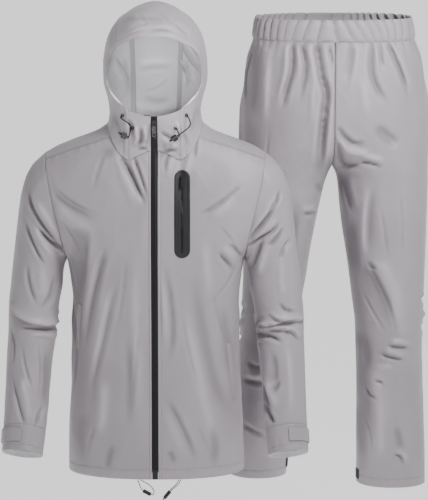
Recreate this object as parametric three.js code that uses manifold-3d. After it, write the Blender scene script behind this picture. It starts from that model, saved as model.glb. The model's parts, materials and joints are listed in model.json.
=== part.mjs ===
// A rain suit, filled out as if worn by nobody: a hooded jacket with a full front zip, and behind it
// the pair of trousers with an elasticated waist. Millimetres, X to the viewer's right, Y away from the
// viewer, Z up. The origin is at the middle of the jacket's neck, where the wearer carries it.
// Left and right in the names are the wearer's, so the right front is on the viewer's left, at -X.

import * as THREE from "three";
import { mergeVertices } from "three/addons/utils/BufferGeometryUtils.js";
import Module from "manifold-3d";

const wasm = await Module();
wasm.setup();

// Driving dimensions
const CLOTH = 1.6; // thickness of a cloth wall
const TAPE = 1.0; // thickness of a tape or welded patch
const STRAP = 1.4; // thickness of a strap or tab
const SEAM = 0.2; // what each piece keeps back from a seam line
const ARMHOLE_SEAM = 0.7; // what a sleeve keeps back from the armhole, where the cloth doubles back
const LIFT = 0.3; // clearance under a strap made from the cuff's own points
const PATCH_LIFT = 0.8; // clearance under a patch that lies over the creases of a panel
const ARMPIT_Z = -280;
const ARMHOLE_TOP_Z = -52;
const ZIP_HALF = 7; // half the width of the black zip tape that shows
const TROUSER_X = 387; // centre plane of the trousers
const TROUSER_Y = 190;
const WAIST_SEAM_Z = 184;
const CROTCH_Z = -98;
const BACK_RISE = 6; // the waist is this much higher at the back, and as much lower in front

const GREY = 0xaaa5ab;
const BLACK = 0x1b1a1d;
const cloth = new THREE.MeshStandardMaterial({ color: GREY, roughness: 0.55, metalness: 0 });
const tape = new THREE.MeshStandardMaterial({ color: BLACK, roughness: 0.6, metalness: 0 });
const plastic = new THREE.MeshStandardMaterial({ color: BLACK, roughness: 0.35, metalness: 0 });
const cordMaterial = new THREE.MeshStandardMaterial({ color: BLACK, roughness: 0.8, metalness: 0 });

// Sections of the jacket body: half its width, its depth in front and behind, and how square it is.
// Above the armpit the width is that of the shoulder, which runs on into the sleeve.
const BODY = table(["z", "half", "front", "back", "power"], [
  [-745, 191, 122, 118, 2.3],
  [-650, 190, 120, 115, 2.3],
  [-570, 185, 118, 112, 2.3],
  [-460, 178, 117, 108, 2.3],
  [-373, 178, 120, 110, 2.3],
  [-317, 184, 123, 112, 2.3],
  [-280, 190, 125, 114, 2.3],
  [-240, 223, 124, 114, 2.3],
  [-200, 250, 122, 113, 2.3],
  [-150, 271, 117, 111, 2.3],
  [-100, 275, 106, 107, 2.3],
  [-75, 258, 99, 102, 2.3],
  [-52, 236, 91, 98, 2.3],
  [-30, 191, 84, 94, 2.3],
  [-4, 126, 78, 89, 2.3],
  [10, 100, 76, 86, 2.3],
  [30, 96, 76, 85, 2.3],
]);

// The armhole seam seen from the front
const ARMHOLE = table(["z", "x"], [
  [-280, 190],
  [-224, 200],
  [-181, 210],
  [-138, 220],
  [-95, 229],
  [-52, 236],
]);
const ARMHOLE_ANGLES = [0, 25, 45, 65, 85, 105, 125, 145, 163, 180]; // from the top to the armpit
const YOKE_FRONT_ANGLE = 25;
const YOKE_BACK_ANGLE = 65;

// Sleeve rings: the outer and inner points of each seen from the front, its half depth, the place of its
// middle along Y, and how far its front is tipped up as the forearm comes forward
const SLEEVE = table(["s", "outX", "outZ", "inX", "inZ", "depth", "y", "tilt"], [
  [0, 236, -52, 190, -280, 78, 0, 0],
  [30, 264, -80, 191.5, -283, 75, -1, 0],
  [60, 279, -108, 193, -286, 72, -2, 0],
  [103, 290, -150, 195, -291, 68, -3, 0],
  [159, 297, -205, 197, -298, 65, -4, 0],
  [216, 303, -262, 199, -310, 62, -5, 0],
  [280, 311, -325, 201, -335, 60, -6, 0],
  [350, 318, -393, 212, -393, 58, -5, 2],
  [395, 319, -437, 215, -440, 57, -8, 8],
  [450, 321, -489, 222, -494, 54, -25, 16],
  [510, 322, -543, 226, -550, 51, -48, 21],
  [575, 323, -601, 231, -610, 48, -73, 23],
  [630, 325, -649, 236, -658, 45, -93, 24],
  [668, 325.5, -681, 239.5, -690, 43, -107, 24],
]);
const SLEEVE_STATIONS = [
  0, 18, 40, 66, 96, 130, 168, 208, 248, 288, 326, 356, 378, 398, 420, 452, 496, 545, 580, 608,
];
const CUFF_STATIONS = [608, 617, 646, 668];
const STRAP_ANGLES = [-45, -25, 0, 25, 45, 65, 85]; // the cuff strap lies on the outside of the cuff

// The neck seam from the zip to the middle of the back
const NECK = table(["t", "x", "y", "z"], [
  [0, 7.5, -89, -39],
  [0.12, 32, -88, -48],
  [0.22, 54, -86, -60],
  [0.32, 75, -82, -43],
  [0.42, 89, -68, -18],
  [0.5, 96.5, -42, 2],
  [0.58, 99, -8, 11],
  [0.66, 96, 26, 15],
  [0.76, 80, 55, 15],
  [0.88, 46, 78, 9],
  [1, 0, 86, 6],
]);
const COLLAR_SEAM_T = 0.22; // the chin panels end here
const YOKE_SEAM_T = 0.44; // the front yoke seam starts here
const HOOD_SEAM_T = 0.87; // the hood's centre panel starts here
const NECK_FRONT = [0, 0.073, 0.147, 0.22, 0.3, 0.37, 0.44];
const YOKE_SEAM = table(["x", "z"], [
  [90, -13],
  [117, -22],
  [178, -42],
  [233, -62.7],
]);

// Sections of the hood
const HOOD = table(["z", "half", "front", "back", "power"], [
  [-60, 97, 90, 90, 2.3],
  [-20, 97, 96, 88, 2.3],
  [13, 99.5, 101, 86, 2.3],
  [32, 101.5, 105, 89, 2.3],
  [55, 104, 109, 98, 2.3],
  [80, 107.5, 113, 110, 2.3],
  [106, 110, 118, 120, 2.3],
  [132, 111, 122, 126, 2.3],
  [157, 108.5, 125, 127, 2.3],
  [183, 104, 127, 123, 2.3],
  [208, 94, 122, 113, 2.3],
  [233, 76, 104, 92, 2.3],
  [252, 51, 77, 66, 2.3],
  [264, 25, 43, 36, 2.3],
  [269.5, 2, 5, 5, 2.3],
]);
const HEAD_Z = 110; // height of the middle of the head
const BRIM_ANGLE = 35.3; // where the brim's edge is, up from straight ahead of the head's middle
const NAPE_ANGLE = 230;
// Half the width of the hood's centre panel, from the brim over the crown to the nape
const CENTRE_PANEL = table(["angle", "half"], [
  [35, 79],
  [60, 80],
  [85, 74],
  [110, 64],
  [140, 56],
  [180, 52],
  [230, 47.5],
]);
// The edge of the face opening, from the brim's corner to the collar seam
const FACE_EDGE = table(["r", "x", "z"], [
  [0, 79, 175],
  [0.15, 93, 157],
  [0.3, 101, 137],
  [0.45, 102, 117],
  [0.6, 98, 97],
  [0.72, 89, 77],
  [0.84, 76, 60],
  [1, 55, 46],
]);
// The top edge of the chin panel, from the zip to the collar seam
const CHIN_EDGE = table(["t", "z"], [
  [0, 33],
  [0.5, 37],
  [1, 46],
]);

// Sections of the trousers above the crotch and of each leg below it. A leg's inner edge lies past the
// centre plane above the crotch, where the two legs' rings cut each other off.
const HIPS = [
  [238, -173, 173, 102, 103, 2.4],
  [184, -179, 181, 105, 108, 2.3],
  [149, -187, 193, 109, 115, 2.3],
  [109, -191, 200, 113, 120, 2.3],
  [60, -184, 205, 116, 124, 2.3],
  [15, -160, 209, 116, 124, 2.3],
  [-30, -110, 211.5, 114, 121, 2.25],
  [-65, -48, 213, 111, 116, 2.2],
  [-98, 0.2, 213.5, 107, 111, 2.15],
];
const LEG_COLUMNS = ["z", "inner", "outer", "front", "back", "power"];
const LEFT_LEG = table(LEG_COLUMNS, [
  ...HIPS,
  [-127, 12, 214, 101, 106, 2.1],
  [-181, 17.5, 213.5, 95, 100, 2.1],
  [-235, 24, 212.5, 91, 95, 2.1],
  [-289, 33, 211.5, 87, 91, 2.1],
  [-344, 41, 210, 83, 87, 2.1],
  [-398, 48, 208, 80, 84, 2.1],
  [-453, 55, 206.5, 78, 82, 2.1],
  [-508, 57, 206.5, 77, 81, 2.1],
  [-563, 59, 207.5, 76, 80, 2.1],
  [-640, 60, 211, 75, 79, 2.1],
  [-702, 60, 214, 75, 78, 2.1],
  [-758, 61, 216, 75, 77, 2.1],
  [-824, 61, 217, 75, 76, 2.2],
]);
const RIGHT_LEG = table(LEG_COLUMNS, [
  ...HIPS,
  [-127, 13, 200, 101, 106, 2.1],
  [-181, 26, 199, 94, 100, 2.1],
  [-235, 37, 198, 89, 95, 2.1],
  [-289, 47, 197, 84, 91, 2.1],
  [-344, 55, 197, 80, 87, 2.1],
  [-398, 64, 199, 77, 84, 2.1],
  [-453, 69, 201, 75, 82, 2.1],
  [-508, 73, 206, 74, 80, 2.1],
  [-563, 77, 211, 73, 79, 2.1],
  [-632, 84, 217, 72, 78, 2.1],
  [-702, 90, 223, 72, 77, 2.1],
  [-758, 94, 227, 72, 76, 2.1],
  [-805, 97, 230, 72, 75, 2.1],
]);
// The right side of the hips is a little narrower, because the trousers are turned a little
const RIGHT_SHARE = table(["z", "share"], [
  [-130, 1],
  [-98, 0.937],
  [-30, 0.945],
  [15, 0.95],
  [109, 0.965],
  [184, 0.97],
  [238, 0.98],
]);
// How far back the middle of each leg lies, from the middle of the hips
const LEFT_SET = table(["z", "y"], [
  [-820, -4],
  [-98, 0],
  [234, 0],
]);
const RIGHT_SET = table(["z", "y"], [
  [-820, 18],
  [-98, 0],
  [234, 0],
]);
const TROUSER_ROWS = [
  184, 160, 130, 95, 60, 25, -10, -40, -62, -82, -98, -130, -175, -225, -280, -335, -390, -435, -475, -515,
  -565, -630, -700, -762, -816,
];
const RIGHT_LEG_SHARE = 0.979; // the right leg ends a little higher
const TROUSER_COLUMNS = 8;
const GATHERS = 42; // gathers round the elasticated band
const GATHER_HEIGHT = 2.6;
const BAND_ROWS = table(["z", "out", "gather"], [
  [184.2, 0, 0.3],
  [195, 1.2, 1],
  [217, 0.6, 1],
  [231, -2.5, 0.75],
]);
const BAND_LEVELS = [184.2, 197, 231];

// Folds: each runs from one point to another as seen from the front, in X and Z, and has a width and a
// depth, which is negative for a trough
const FOLD_COLUMNS = ["x0", "z0", "x1", "z1", "width", "depth"];
const BODY_FRONT_FOLDS = folds([
  [-104, -255, -158, -470, 16, -7],
  [-94, -340, -172, -725, 22, -7],
  [-128, -330, -172, -560, 14, 4],
  [-220, -125, -112, -192, 20, -6],
  [-178, -205, -140, -265, 24, -7],
  [-62, -75, -24, -165, 10, -5],
  [-40, -70, -12, -120, 9, 4],
  [228, -92, 150, -162, 12, -4],
  [75, -270, 178, -610, 20, -6],
  [20, -585, 92, -705, 12, -6],
  [30, -310, 26, -470, 12, -4],
  [148, -250, 178, -300, 14, -6],
  [-70, -380, -96, -700, 20, 4],
  [110, -420, 130, -700, 22, 4],
]);
const BODY_BACK_FOLDS = folds([
  [-175, -235, -70, -400, 20, -7],
  [168, -255, 60, -430, 18, -6],
  [-60, -430, -96, -715, 22, -6],
  [70, -470, 88, -725, 20, -6],
  [0, -300, 12, -640, 26, 4],
  [-150, -420, -168, -640, 18, -5],
  [150, -400, 166, -600, 18, -5],
  [-205, -150, -110, -215, 18, -5],
  [208, -160, 120, -230, 18, -5],
]);
const SLEEVE_FRONT_FOLDS = folds([
  [-245, -212, -195, -262, 10, -5],
  [-263, -160, -212, -262, 10, -4],
  [-276, -190, -248, -275, 10, -4],
  [-314, -412, -212, -430, 10, -8],
  [-275, -446, -214, -454, 9, -5],
  [-310, -395, -250, -402, 10, 4],
  [-310, -530, -275, -590, 14, -4],
  [262, -155, 238, -190, 9, -4],
  [256, -175, 200, -245, 10, -5],
  [270, -205, 202, -254, 9, -4],
  [230, -250, 206, -305, 10, -5],
  [245, -402, 288, -412, 9, -5],
  [212, -436, 314, -418, 9, -7],
  [218, -462, 276, -466, 9, -6],
  [225, -545, 245, -590, 10, -5],
]);
const SLEEVE_BACK_FOLDS = folds([
  [-250, -190, -200, -270, 12, -5],
  [-312, -418, -225, -408, 12, 5],
  [-300, -450, -225, -440, 11, -5],
  [-300, -500, -270, -600, 14, -4],
  [252, -185, 202, -262, 12, -5],
  [312, -410, 228, -422, 12, 5],
  [302, -455, 226, -448, 11, -5],
  [296, -500, 262, -590, 14, -4],
]);
const TROUSER_FRONT_FOLDS = folds([
  [-93, 178, -109, 30, 11, -6],
  [-71, 178, -84, 25, 10, -4],
  [-45, 178, -15, 85, 10, -6],
  [-19, 60, -35, -135, 13, -9],
  [14, 175, 11, 70, 9, -4],
  [73, 178, 113, 60, 10, -5],
  [119, 180, 161, 45, 11, -5],
  [-157, 180, -172, 0, 16, -6],
  [10, -5, 61, -22, 14, -7],
  [61, -62, 103, -77, 12, -8],
  [75, -110, 65, -270, 16, -6],
  [75, -290, 141, -440, 16, -9],
  [125, -478, 169, -482, 12, -7],
  [108, -500, 158, -520, 12, 5],
  [75, -570, 100, -590, 10, -4],
  [133, -722, 159, -745, 9, -5],
  [-182, -535, -152, -550, 12, -6],
  [-191, -575, -152, -578, 12, -6],
  [-197, -680, -155, -700, 14, -5],
  [-110, -150, -135, -420, 18, 5],
]);
const TROUSER_BACK_FOLDS = folds([
  [-120, 178, -130, 60, 11, -5],
  [-60, 178, -58, 70, 11, -5],
  [55, 178, 62, 60, 11, -5],
  [118, 178, 132, 50, 11, -5],
  [-25, -20, -110, -60, 16, -7],
  [25, -15, 115, -62, 16, -7],
  [-40, -80, -140, -130, 16, -6],
  [35, -85, 140, -140, 16, -6],
  [-170, -420, -100, -450, 14, -7],
  [100, -425, 180, -445, 14, -7],
  [-185, -470, -110, -480, 12, 5],
  [110, -470, 185, -485, 12, 5],
  [-170, -560, -165, -740, 18, -5],
  [140, -560, 150, -760, 18, -5],
]);

// Reading a table: a smooth value for each column between its rows, with no overshoot
function table(names, rows) {
  const sorted = [...rows].sort((a, b) => a[0] - b[0]);
  const keys = sorted.map((row) => row[0]);
  const made = {};
  for (const [c, name] of names.entries()) {
    if (c === 0) continue;
    const values = sorted.map((row) => row[c]);
    made[name] = monotoneCurve(keys, values);
  }
  return made;
}

function monotoneCurve(keys, values) {
  const last = keys.length - 1;
  const slope = (i) => (values[i + 1] - values[i]) / (keys[i + 1] - keys[i]);
  const tangent = keys.map((_, i) => {
    if (i === 0) return slope(0);
    if (i === last) return slope(last - 1);
    const before = slope(i - 1);
    const after = slope(i);
    return before * after <= 0 ? 0 : (2 * before * after) / (before + after);
  });
  return (key) => {
    const k = Math.min(Math.max(key, keys[0]), keys[last]);
    let i = 0;
    while (i < last - 1 && k > keys[i + 1]) i += 1;
    const width = keys[i + 1] - keys[i];
    const t = (k - keys[i]) / width;
    const rest = 1 - t;
    return (
      values[i] * (1 + 2 * t) * rest * rest +
      tangent[i] * width * t * rest * rest +
      values[i + 1] * t * t * (3 - 2 * t) +
      tangent[i + 1] * width * t * t * (t - 1)
    );
  };
}

function folds(rows) {
  return rows.map((row) => Object.fromEntries(FOLD_COLUMNS.map((name, i) => [name, row[i]])));
}

// How far the folds of a list move a point of the cloth out, seen from the front at x, z
function foldDepth(list, x, z) {
  let sum = 0;
  for (const f of list) {
    const dx = f.x1 - f.x0;
    const dz = f.z1 - f.z0;
    const along = ((x - f.x0) * dx + (z - f.z0) * dz) / (dx * dx + dz * dz);
    if (along <= 0 || along >= 1) continue;
    const across = ((x - f.x0) * dz - (z - f.z0) * dx) / Math.hypot(dx, dz) / f.width;
    sum += f.depth * Math.sin(Math.PI * along) ** 0.7 * Math.exp(-across * across);
  }
  return sum;
}

const radians = THREE.MathUtils.degToRad;
const degrees = THREE.MathUtils.radToDeg;
const mix = THREE.MathUtils.lerp;
const smooth = (x, low, high) => THREE.MathUtils.smoothstep(x, low, high);
const point = (x, y, z) => new THREE.Vector3(x, y, z);
const signedPower = (x, power) => Math.sign(x) * Math.abs(x) ** power;

// The superellipse sections: how deep the form is at a place across it, from 0 to 1
function share(across, power) {
  const inside = 1 - Math.min(Math.abs(across), 1) ** power;
  return inside ** (1 / power);
}

// A point of a form's ring at height z. The angle runs from straight in front, 0, round the left side.
function ringPoint(form, z, angle) {
  const power = 2 / form.power(z);
  const s = Math.sin(radians(angle));
  const c = Math.cos(radians(angle));
  const depth = c > 0 ? form.front(z) : form.back(z);
  return point(form.half(z) * signedPower(s, power), -depth * signedPower(c, power), z);
}

// The angle at which a form's ring has a given x, in its front half
function ringAngle(form, x, z) {
  const across = Math.min(Math.abs(x) / form.half(z), 1);
  return degrees(Math.asin(across ** (form.power(z) / 2)));
}

function frontPoint(form, x, z) {
  return point(x, -form.front(z) * share(x / form.half(z), form.power(z)), z);
}

function backPoint(form, x, z) {
  return point(x, form.back(z) * share(x / form.half(z), form.power(z)), z);
}

// Where a form's cut at x is met by a line from its middle at a height, going up from straight ahead by an
// angle
function cutPoint(form, x, middleZ, angle) {
  const cos = Math.cos(radians(angle));
  const sin = Math.sin(radians(angle));
  let near = 0;
  let far = 400;
  for (let step = 0; step < 40; step += 1) {
    const reach = (near + far) / 2;
    const z = middleZ + reach * sin;
    const depth = cos > 0 ? form.front(z) : form.back(z);
    const power = form.power(z);
    const across = Math.abs(x / form.half(z)) ** power + Math.abs((reach * cos) / depth) ** power;
    if (across < 1 && z < 269.5) near = reach;
    else far = reach;
  }
  return point(x, -near * cos, middleZ + near * sin);
}

// The armhole seam: the angle runs from the shoulder, 0, down the front to the armpit, 180, and is
// negative down the back
function armholePoint(side, angle) {
  const middle = (ARMHOLE_TOP_Z + ARMPIT_Z) / 2;
  const z = middle + ((ARMHOLE_TOP_Z - ARMPIT_Z) / 2) * Math.cos(radians(angle));
  const x = ARMHOLE.x(z);
  const p = angle >= 0 ? frontPoint(BODY, x, z) : backPoint(BODY, x, z);
  p.x *= side;
  return p;
}

function neckPoint(side, t) {
  return point(side * NECK.x(t), NECK.y(t), NECK.z(t));
}

// A Coons patch between four edges, each a function of its share
function coons(bottom, top, left, right, u, v) {
  const sum = bottom(u).multiplyScalar(1 - v).addScaledVector(top(u), v);
  sum.addScaledVector(left(v), 1 - u).addScaledVector(right(v), u);
  sum.addScaledVector(bottom(0), -(1 - u) * (1 - v)).addScaledVector(bottom(1), -u * (1 - v));
  return sum.addScaledVector(top(0), -(1 - u) * v).addScaledVector(top(1), -u * v);
}

const steps = (count) => Array.from({ length: count + 1 }, (_, i) => i / count);

// Folds move the front of a form towards the viewer and its back away, and fade out at its sides
function creased(p, middleX, middleY, frontFolds, backFolds, weight = 1) {
  const away = p.y - middleY;
  const list = away < 0 ? frontFolds : backFolds;
  p.y += Math.sign(away) * weight * smooth(Math.abs(away), 4, 34) * foldDepth(list, p.x - middleX, p.z);
  return p;
}

const onBody = (p) => creased(p, 0, 0, BODY_FRONT_FOLDS, BODY_BACK_FOLDS);
const armholeSeam = (side, angle) => onBody(armholePoint(side, angle));
const neckSeam = (side, t) => onBody(neckPoint(side, t));

// Jacket fronts. The rows below the armpit are level; above it they follow the armhole seam.
const BODY_LEVELS = [-738, -716, -676, -632, -588, -544, -500, -456, -412, -370, -330, -302];
const FRONT_ANGLES = ARMHOLE_ANGLES.filter((angle) => angle >= YOKE_FRONT_ANGLE).reverse();
const BACK_ANGLES = ARMHOLE_ANGLES.filter((angle) => angle >= YOKE_BACK_ANGLE).reverse();
const NECK_COLUMNS = NECK_FRONT.length - 1;
const SEAM_COLUMNS = 6; // columns of a front below the yoke seam
const FRONT_COLUMNS = NECK_COLUMNS + SEAM_COLUMNS;
const NECK_SHARE = 0.42; // share of a front's width that lies below the neckline
const FRONT_ROWS = BODY_LEVELS.length + FRONT_ANGLES.length - 1;

function frontColumn(j) {
  if (j <= NECK_COLUMNS) return (NECK_SHARE * j) / NECK_COLUMNS;
  return mix(NECK_SHARE, 1, (j - NECK_COLUMNS) / SEAM_COLUMNS);
}

// The top edge of a front: the neck seam, then the yoke seam
function frontTop(side, j) {
  if (j <= NECK_COLUMNS) return neckPoint(side, NECK_FRONT[j]);
  if (j === FRONT_COLUMNS) return armholePoint(side, YOKE_FRONT_ANGLE);
  const end = armholePoint(1, YOKE_FRONT_ANGLE);
  const outward = (j - NECK_COLUMNS) / SEAM_COLUMNS;
  const x = mix(NECK.x(YOKE_SEAM_T), end.x, outward);
  const p = frontPoint(BODY, x, YOKE_SEAM.z(x));
  const start = neckPoint(1, YOKE_SEAM_T);
  p.y += (start.y - frontPoint(BODY, start.x, start.z).y) * (1 - outward) ** 3;
  p.x *= side;
  return p;
}

function frontLevel(side, j, z) {
  const start = ringAngle(BODY, ZIP_HALF, z);
  const p = ringPoint(BODY, z, mix(start, 90, frontColumn(j)));
  p.x *= side;
  return p;
}

function frontPanelPoint(side, i, j) {
  const levels = BODY_LEVELS.length;
  if (i < levels) return onBody(frontLevel(side, j, BODY_LEVELS[i]));
  const angle = FRONT_ANGLES[i - levels];
  if (i === FRONT_ROWS) return onBody(frontTop(side, j));
  if (j === FRONT_COLUMNS) return armholeSeam(side, angle);
  const upward = (i - levels) / (FRONT_ANGLES.length - 1);
  const top = frontTop(1, j);
  const bottom = frontLevel(1, j, ARMPIT_Z);
  const armhole = armholePoint(1, angle);
  const last = armholePoint(1, YOKE_FRONT_ANGLE);
  const outward = frontColumn(j);
  const x = mix(bottom.x, top.x, upward) + outward * (armhole.x - mix(ARMHOLE.x(ARMPIT_Z), last.x, upward));
  const z = mix(ARMPIT_Z, top.z, upward) + outward * (armhole.z - mix(ARMPIT_Z, last.z, upward));
  const p = frontPoint(BODY, x, z);
  // The neck seam is a little off the form, and the cloth near it follows the seam
  p.y += (top.y - frontPoint(BODY, top.x, top.z).y) * upward ** 4;
  p.x *= side;
  return onBody(p);
}

// Jacket back, up to the seam across the shoulder blades
const BACK_HALF = 6;
const BACK_ROWS = BODY_LEVELS.length + BACK_ANGLES.length - 1;

function backPanelPoint(i, j) {
  const levels = BODY_LEVELS.length;
  const across = j / BACK_HALF - 1;
  if (i < levels) return onBody(ringPoint(BODY, BODY_LEVELS[i], 180 - 90 * across));
  const angle = BACK_ANGLES[i - levels];
  if (Math.abs(across) === 1) return armholeSeam(across, -angle);
  const upward = (i - levels) / (BACK_ANGLES.length - 1);
  const corner = armholePoint(1, -YOKE_BACK_ANGLE);
  const armhole = armholePoint(1, -angle);
  const bottom = ringPoint(BODY, ARMPIT_Z, 180 - 90 * across);
  const outward = Math.abs(across);
  const lineX = mix(ARMHOLE.x(ARMPIT_Z), corner.x, upward);
  const lineZ = mix(ARMPIT_Z, corner.z, upward);
  const x = mix(Math.abs(bottom.x), corner.x * outward, upward) + outward ** 2 * (armhole.x - lineX);
  return onBody(backPoint(BODY, Math.sign(across) * x, lineZ + outward ** 2 * (armhole.z - lineZ)));
}

// The yoke lies round the neck as a U, from the front seam of one shoulder over the back to the other.
// Its lines run out from the neck seam, first to the armhole and then to the seam across the back.
const YOKE_SIDE_LINES = [
  { t: 0.44, angle: 25 },
  { t: 0.51, angle: 0 },
  { t: 0.58, angle: -25 },
  { t: 0.65, angle: -45 },
  { t: 0.72, angle: -65 },
];
// Then each line ends at a column of the back, counted from its middle
const YOKE_BACK_LINES = [
  { t: 0.8, column: 4.5 },
  { t: 0.87, column: 3 },
  { t: 0.935, column: 1.5 },
  { t: 1, column: 0 },
];
const YOKE_HALF = YOKE_SIDE_LINES.length + YOKE_BACK_LINES.length - 1;
const SHOULDER_MIDDLE_Z = -170;
const shoulderAngle = (p) => degrees(Math.atan2(p.z - SHOULDER_MIDDLE_Z, -p.y));

function yokeEnds(line) {
  const side = line <= YOKE_HALF ? -1 : 1;
  const k = line <= YOKE_HALF ? line : 2 * YOKE_HALF - line;
  if (k < YOKE_SIDE_LINES.length) {
    const { t, angle } = YOKE_SIDE_LINES[k];
    return { inner: neckPoint(side, t), outer: armholePoint(side, angle), side, k };
  }
  const { t, column } = YOKE_BACK_LINES[k - YOKE_SIDE_LINES.length];
  const corner = armholePoint(1, -YOKE_BACK_ANGLE);
  const outer = backPoint(BODY, (side * corner.x * column) / BACK_HALF, corner.z);
  return { inner: neckPoint(side, t), outer, side, k };
}

function yokePoint(line, j) {
  const { inner, outer, side, k } = yokeEnds(line);
  if (k === 0) return onBody(frontTop(side, NECK_COLUMNS + j));
  if (j === 0) return onBody(inner);
  if (j === SEAM_COLUMNS) return onBody(outer);
  const outward = j / SEAM_COLUMNS;
  const angle = mix(shoulderAngle(inner), shoulderAngle(outer), outward);
  const p = cutPoint(BODY, mix(inner.x, outer.x, outward), SHOULDER_MIDDLE_Z, angle);
  const onForm = cutPoint(BODY, inner.x, SHOULDER_MIDDLE_Z, shoulderAngle(inner));
  return onBody(p.addScaledVector(inner.clone().sub(onForm), (1 - outward) ** 3));
}

// Sleeves: the angle runs from the outside of the arm, 0, round the front to the inside, 180
const RING_ANGLES = [...ARMHOLE_ANGLES, ...ARMHOLE_ANGLES.slice(1, -1).map((angle) => -angle).reverse()];

function sleeveRing(s, angle) {
  const outer = point(SLEEVE.outX(s), 0, SLEEVE.outZ(s));
  const inner = point(SLEEVE.inX(s), 0, SLEEVE.inZ(s));
  const tilt = radians(SLEEVE.tilt(s));
  const p = outer.clone().add(inner).multiplyScalar(0.5);
  p.y = SLEEVE.y(s);
  p.addScaledVector(outer.sub(inner), Math.cos(radians(angle)) / 2);
  const forward = SLEEVE.depth(s) * Math.sin(radians(angle));
  return p.add(point(0, -forward * Math.cos(tilt), forward * Math.sin(tilt)));
}

function sleevePoint(side, s, angle) {
  const p = sleeveRing(s, angle);
  const atArmhole = 1 - smooth(s, 0, 70);
  p.addScaledVector(armholePoint(1, angle).sub(sleeveRing(0, angle)), atArmhole);
  p.x *= side;
  creased(p, 0, SLEEVE.y(s), SLEEVE_FRONT_FOLDS, SLEEVE_BACK_FOLDS, 1 - atArmhole);
  const body = onBody(p.clone()).sub(p);
  return p.addScaledVector(body, atArmhole);
}

// Hood: its middle is where the head would be
const HEAD = point(0, 0, HEAD_Z);
const SIDE_COLUMNS = 9;
const SIDE_ROWS = 9;
const COLLAR_ROWS = 3; // rows of the hood's side along the collar seam
const CROWN_SHARE = 0.4; // share of the centre seam, from the brim, along the top of the side panel
const SIDE_NECK = [0.22, 0.3, 0.37, 0.44, 0.51, 0.58, 0.65, 0.72, 0.8, 0.87];
const NAPE_NECK = [0.87, 0.935, 1];

function centreSeam(side, u) {
  const angle = mix(BRIM_ANGLE, NAPE_ANGLE, u);
  const p = cutPoint(HOOD, side * CENTRE_PANEL.half(angle), HEAD_Z, angle);
  const nape = cutPoint(HOOD, side * CENTRE_PANEL.half(NAPE_ANGLE), HEAD_Z, NAPE_ANGLE);
  return p.addScaledVector(neckSeam(side, HOOD_SEAM_T).sub(nape), smooth(u, 0.7, 1));
}

function collarSeam(side, v) {
  const top = frontPoint(HOOD, FACE_EDGE.x(1), FACE_EDGE.z(1));
  top.x *= side;
  const p = neckSeam(side, COLLAR_SEAM_T).lerp(top, v);
  p.y -= 4 * Math.sin(Math.PI * v);
  return p;
}

// The front edge of a hood side, from the neck up: the collar seam, then the face opening
function hoodFrontEdge(side, v) {
  const split = COLLAR_ROWS / SIDE_ROWS;
  if (v <= split + 1e-9) return collarSeam(side, v / split);
  const r = (1 - v) / (1 - split);
  const p = frontPoint(HOOD, FACE_EDGE.x(r), FACE_EDGE.z(r));
  p.x *= side;
  if (r === 0) return centreSeam(side, 0);
  return p;
}

function sideNeck(side, u) {
  const place = u * SIDE_COLUMNS;
  const i = Math.min(Math.floor(place + 1e-9), SIDE_COLUMNS - 1);
  return neckSeam(side, mix(SIDE_NECK[i], SIDE_NECK[i + 1], place - i));
}

function hoodSidePoint(side, i, j) {
  const u = j / SIDE_COLUMNS;
  const v = i / SIDE_ROWS;
  const crown = (share) => centreSeam(side, CROWN_SHARE * share);
  const nape = (share) => centreSeam(side, mix(1, CROWN_SHARE, share));
  const p = coons((k) => sideNeck(side, k), crown, (k) => hoodFrontEdge(side, k), nape, u, v);
  if (i === 0 || i === SIDE_ROWS || j === 0 || j === SIDE_COLUMNS) return p;
  const weight = smooth(v, 0, 0.35);
  return p.lerp(onHood(p), weight);
}

// The point of the hood's form in the direction of p from the middle of the head
function onHood(p) {
  const way = p.clone().sub(HEAD).normalize();
  let near = 0;
  let far = 300;
  for (let step = 0; step < 36; step += 1) {
    const reach = (near + far) / 2;
    const q = HEAD.clone().addScaledVector(way, reach);
    const depth = q.y < 0 ? HOOD.front(q.z) : HOOD.back(q.z);
    const power = HOOD.power(q.z);
    const sum = Math.abs(q.x / HOOD.half(q.z)) ** power + Math.abs(q.y / depth) ** power;
    if (sum < 1 && q.z < 269.5) near = reach;
    else far = reach;
  }
  return HEAD.clone().addScaledVector(way, near);
}

const CENTRE_HALF = 2;
const CENTRE_ROWS = SIDE_COLUMNS + SIDE_ROWS;

function centrePoint(i, j) {
  const across = j / CENTRE_HALF - 1;
  const crownRow = SIDE_COLUMNS; // rows up to here are matched with the side panel's top edge
  const napeward = (i - crownRow) / (CENTRE_ROWS - crownRow);
  const u = i <= crownRow ? (CROWN_SHARE * i) / crownRow : mix(CROWN_SHARE, 1, napeward);
  if (Math.abs(across) === 1) return centreSeam(across, u);
  const side = Math.sign(across) || 1;
  const angle = mix(BRIM_ANGLE, NAPE_ANGLE, u);
  const p = cutPoint(HOOD, CENTRE_PANEL.half(angle) * across, HEAD_Z, angle);
  const nape = cutPoint(HOOD, CENTRE_PANEL.half(NAPE_ANGLE) * across, HEAD_Z, NAPE_ANGLE);
  const t = NAPE_NECK[NAPE_NECK.length - 1 - Math.round(Math.abs(across) * CENTRE_HALF)];
  return p.addScaledVector(neckSeam(side, t).sub(nape), smooth(u, 0.7, 1));
}

// Chin panels, between the zip and the hood's sides
const CHIN_COLUMNS = 3;

function chinTop(side, t) {
  const x = mix(ZIP_HALF, FACE_EDGE.x(1), t);
  const p = frontPoint(HOOD, x, t === 1 ? FACE_EDGE.z(1) : CHIN_EDGE.z(t));
  p.x *= side;
  return p;
}

function zipEdge(side, v) {
  const p = neckSeam(side, 0).lerp(chinTop(side, 0), v);
  p.y -= 3 * Math.sin(Math.PI * v);
  return p;
}

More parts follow.
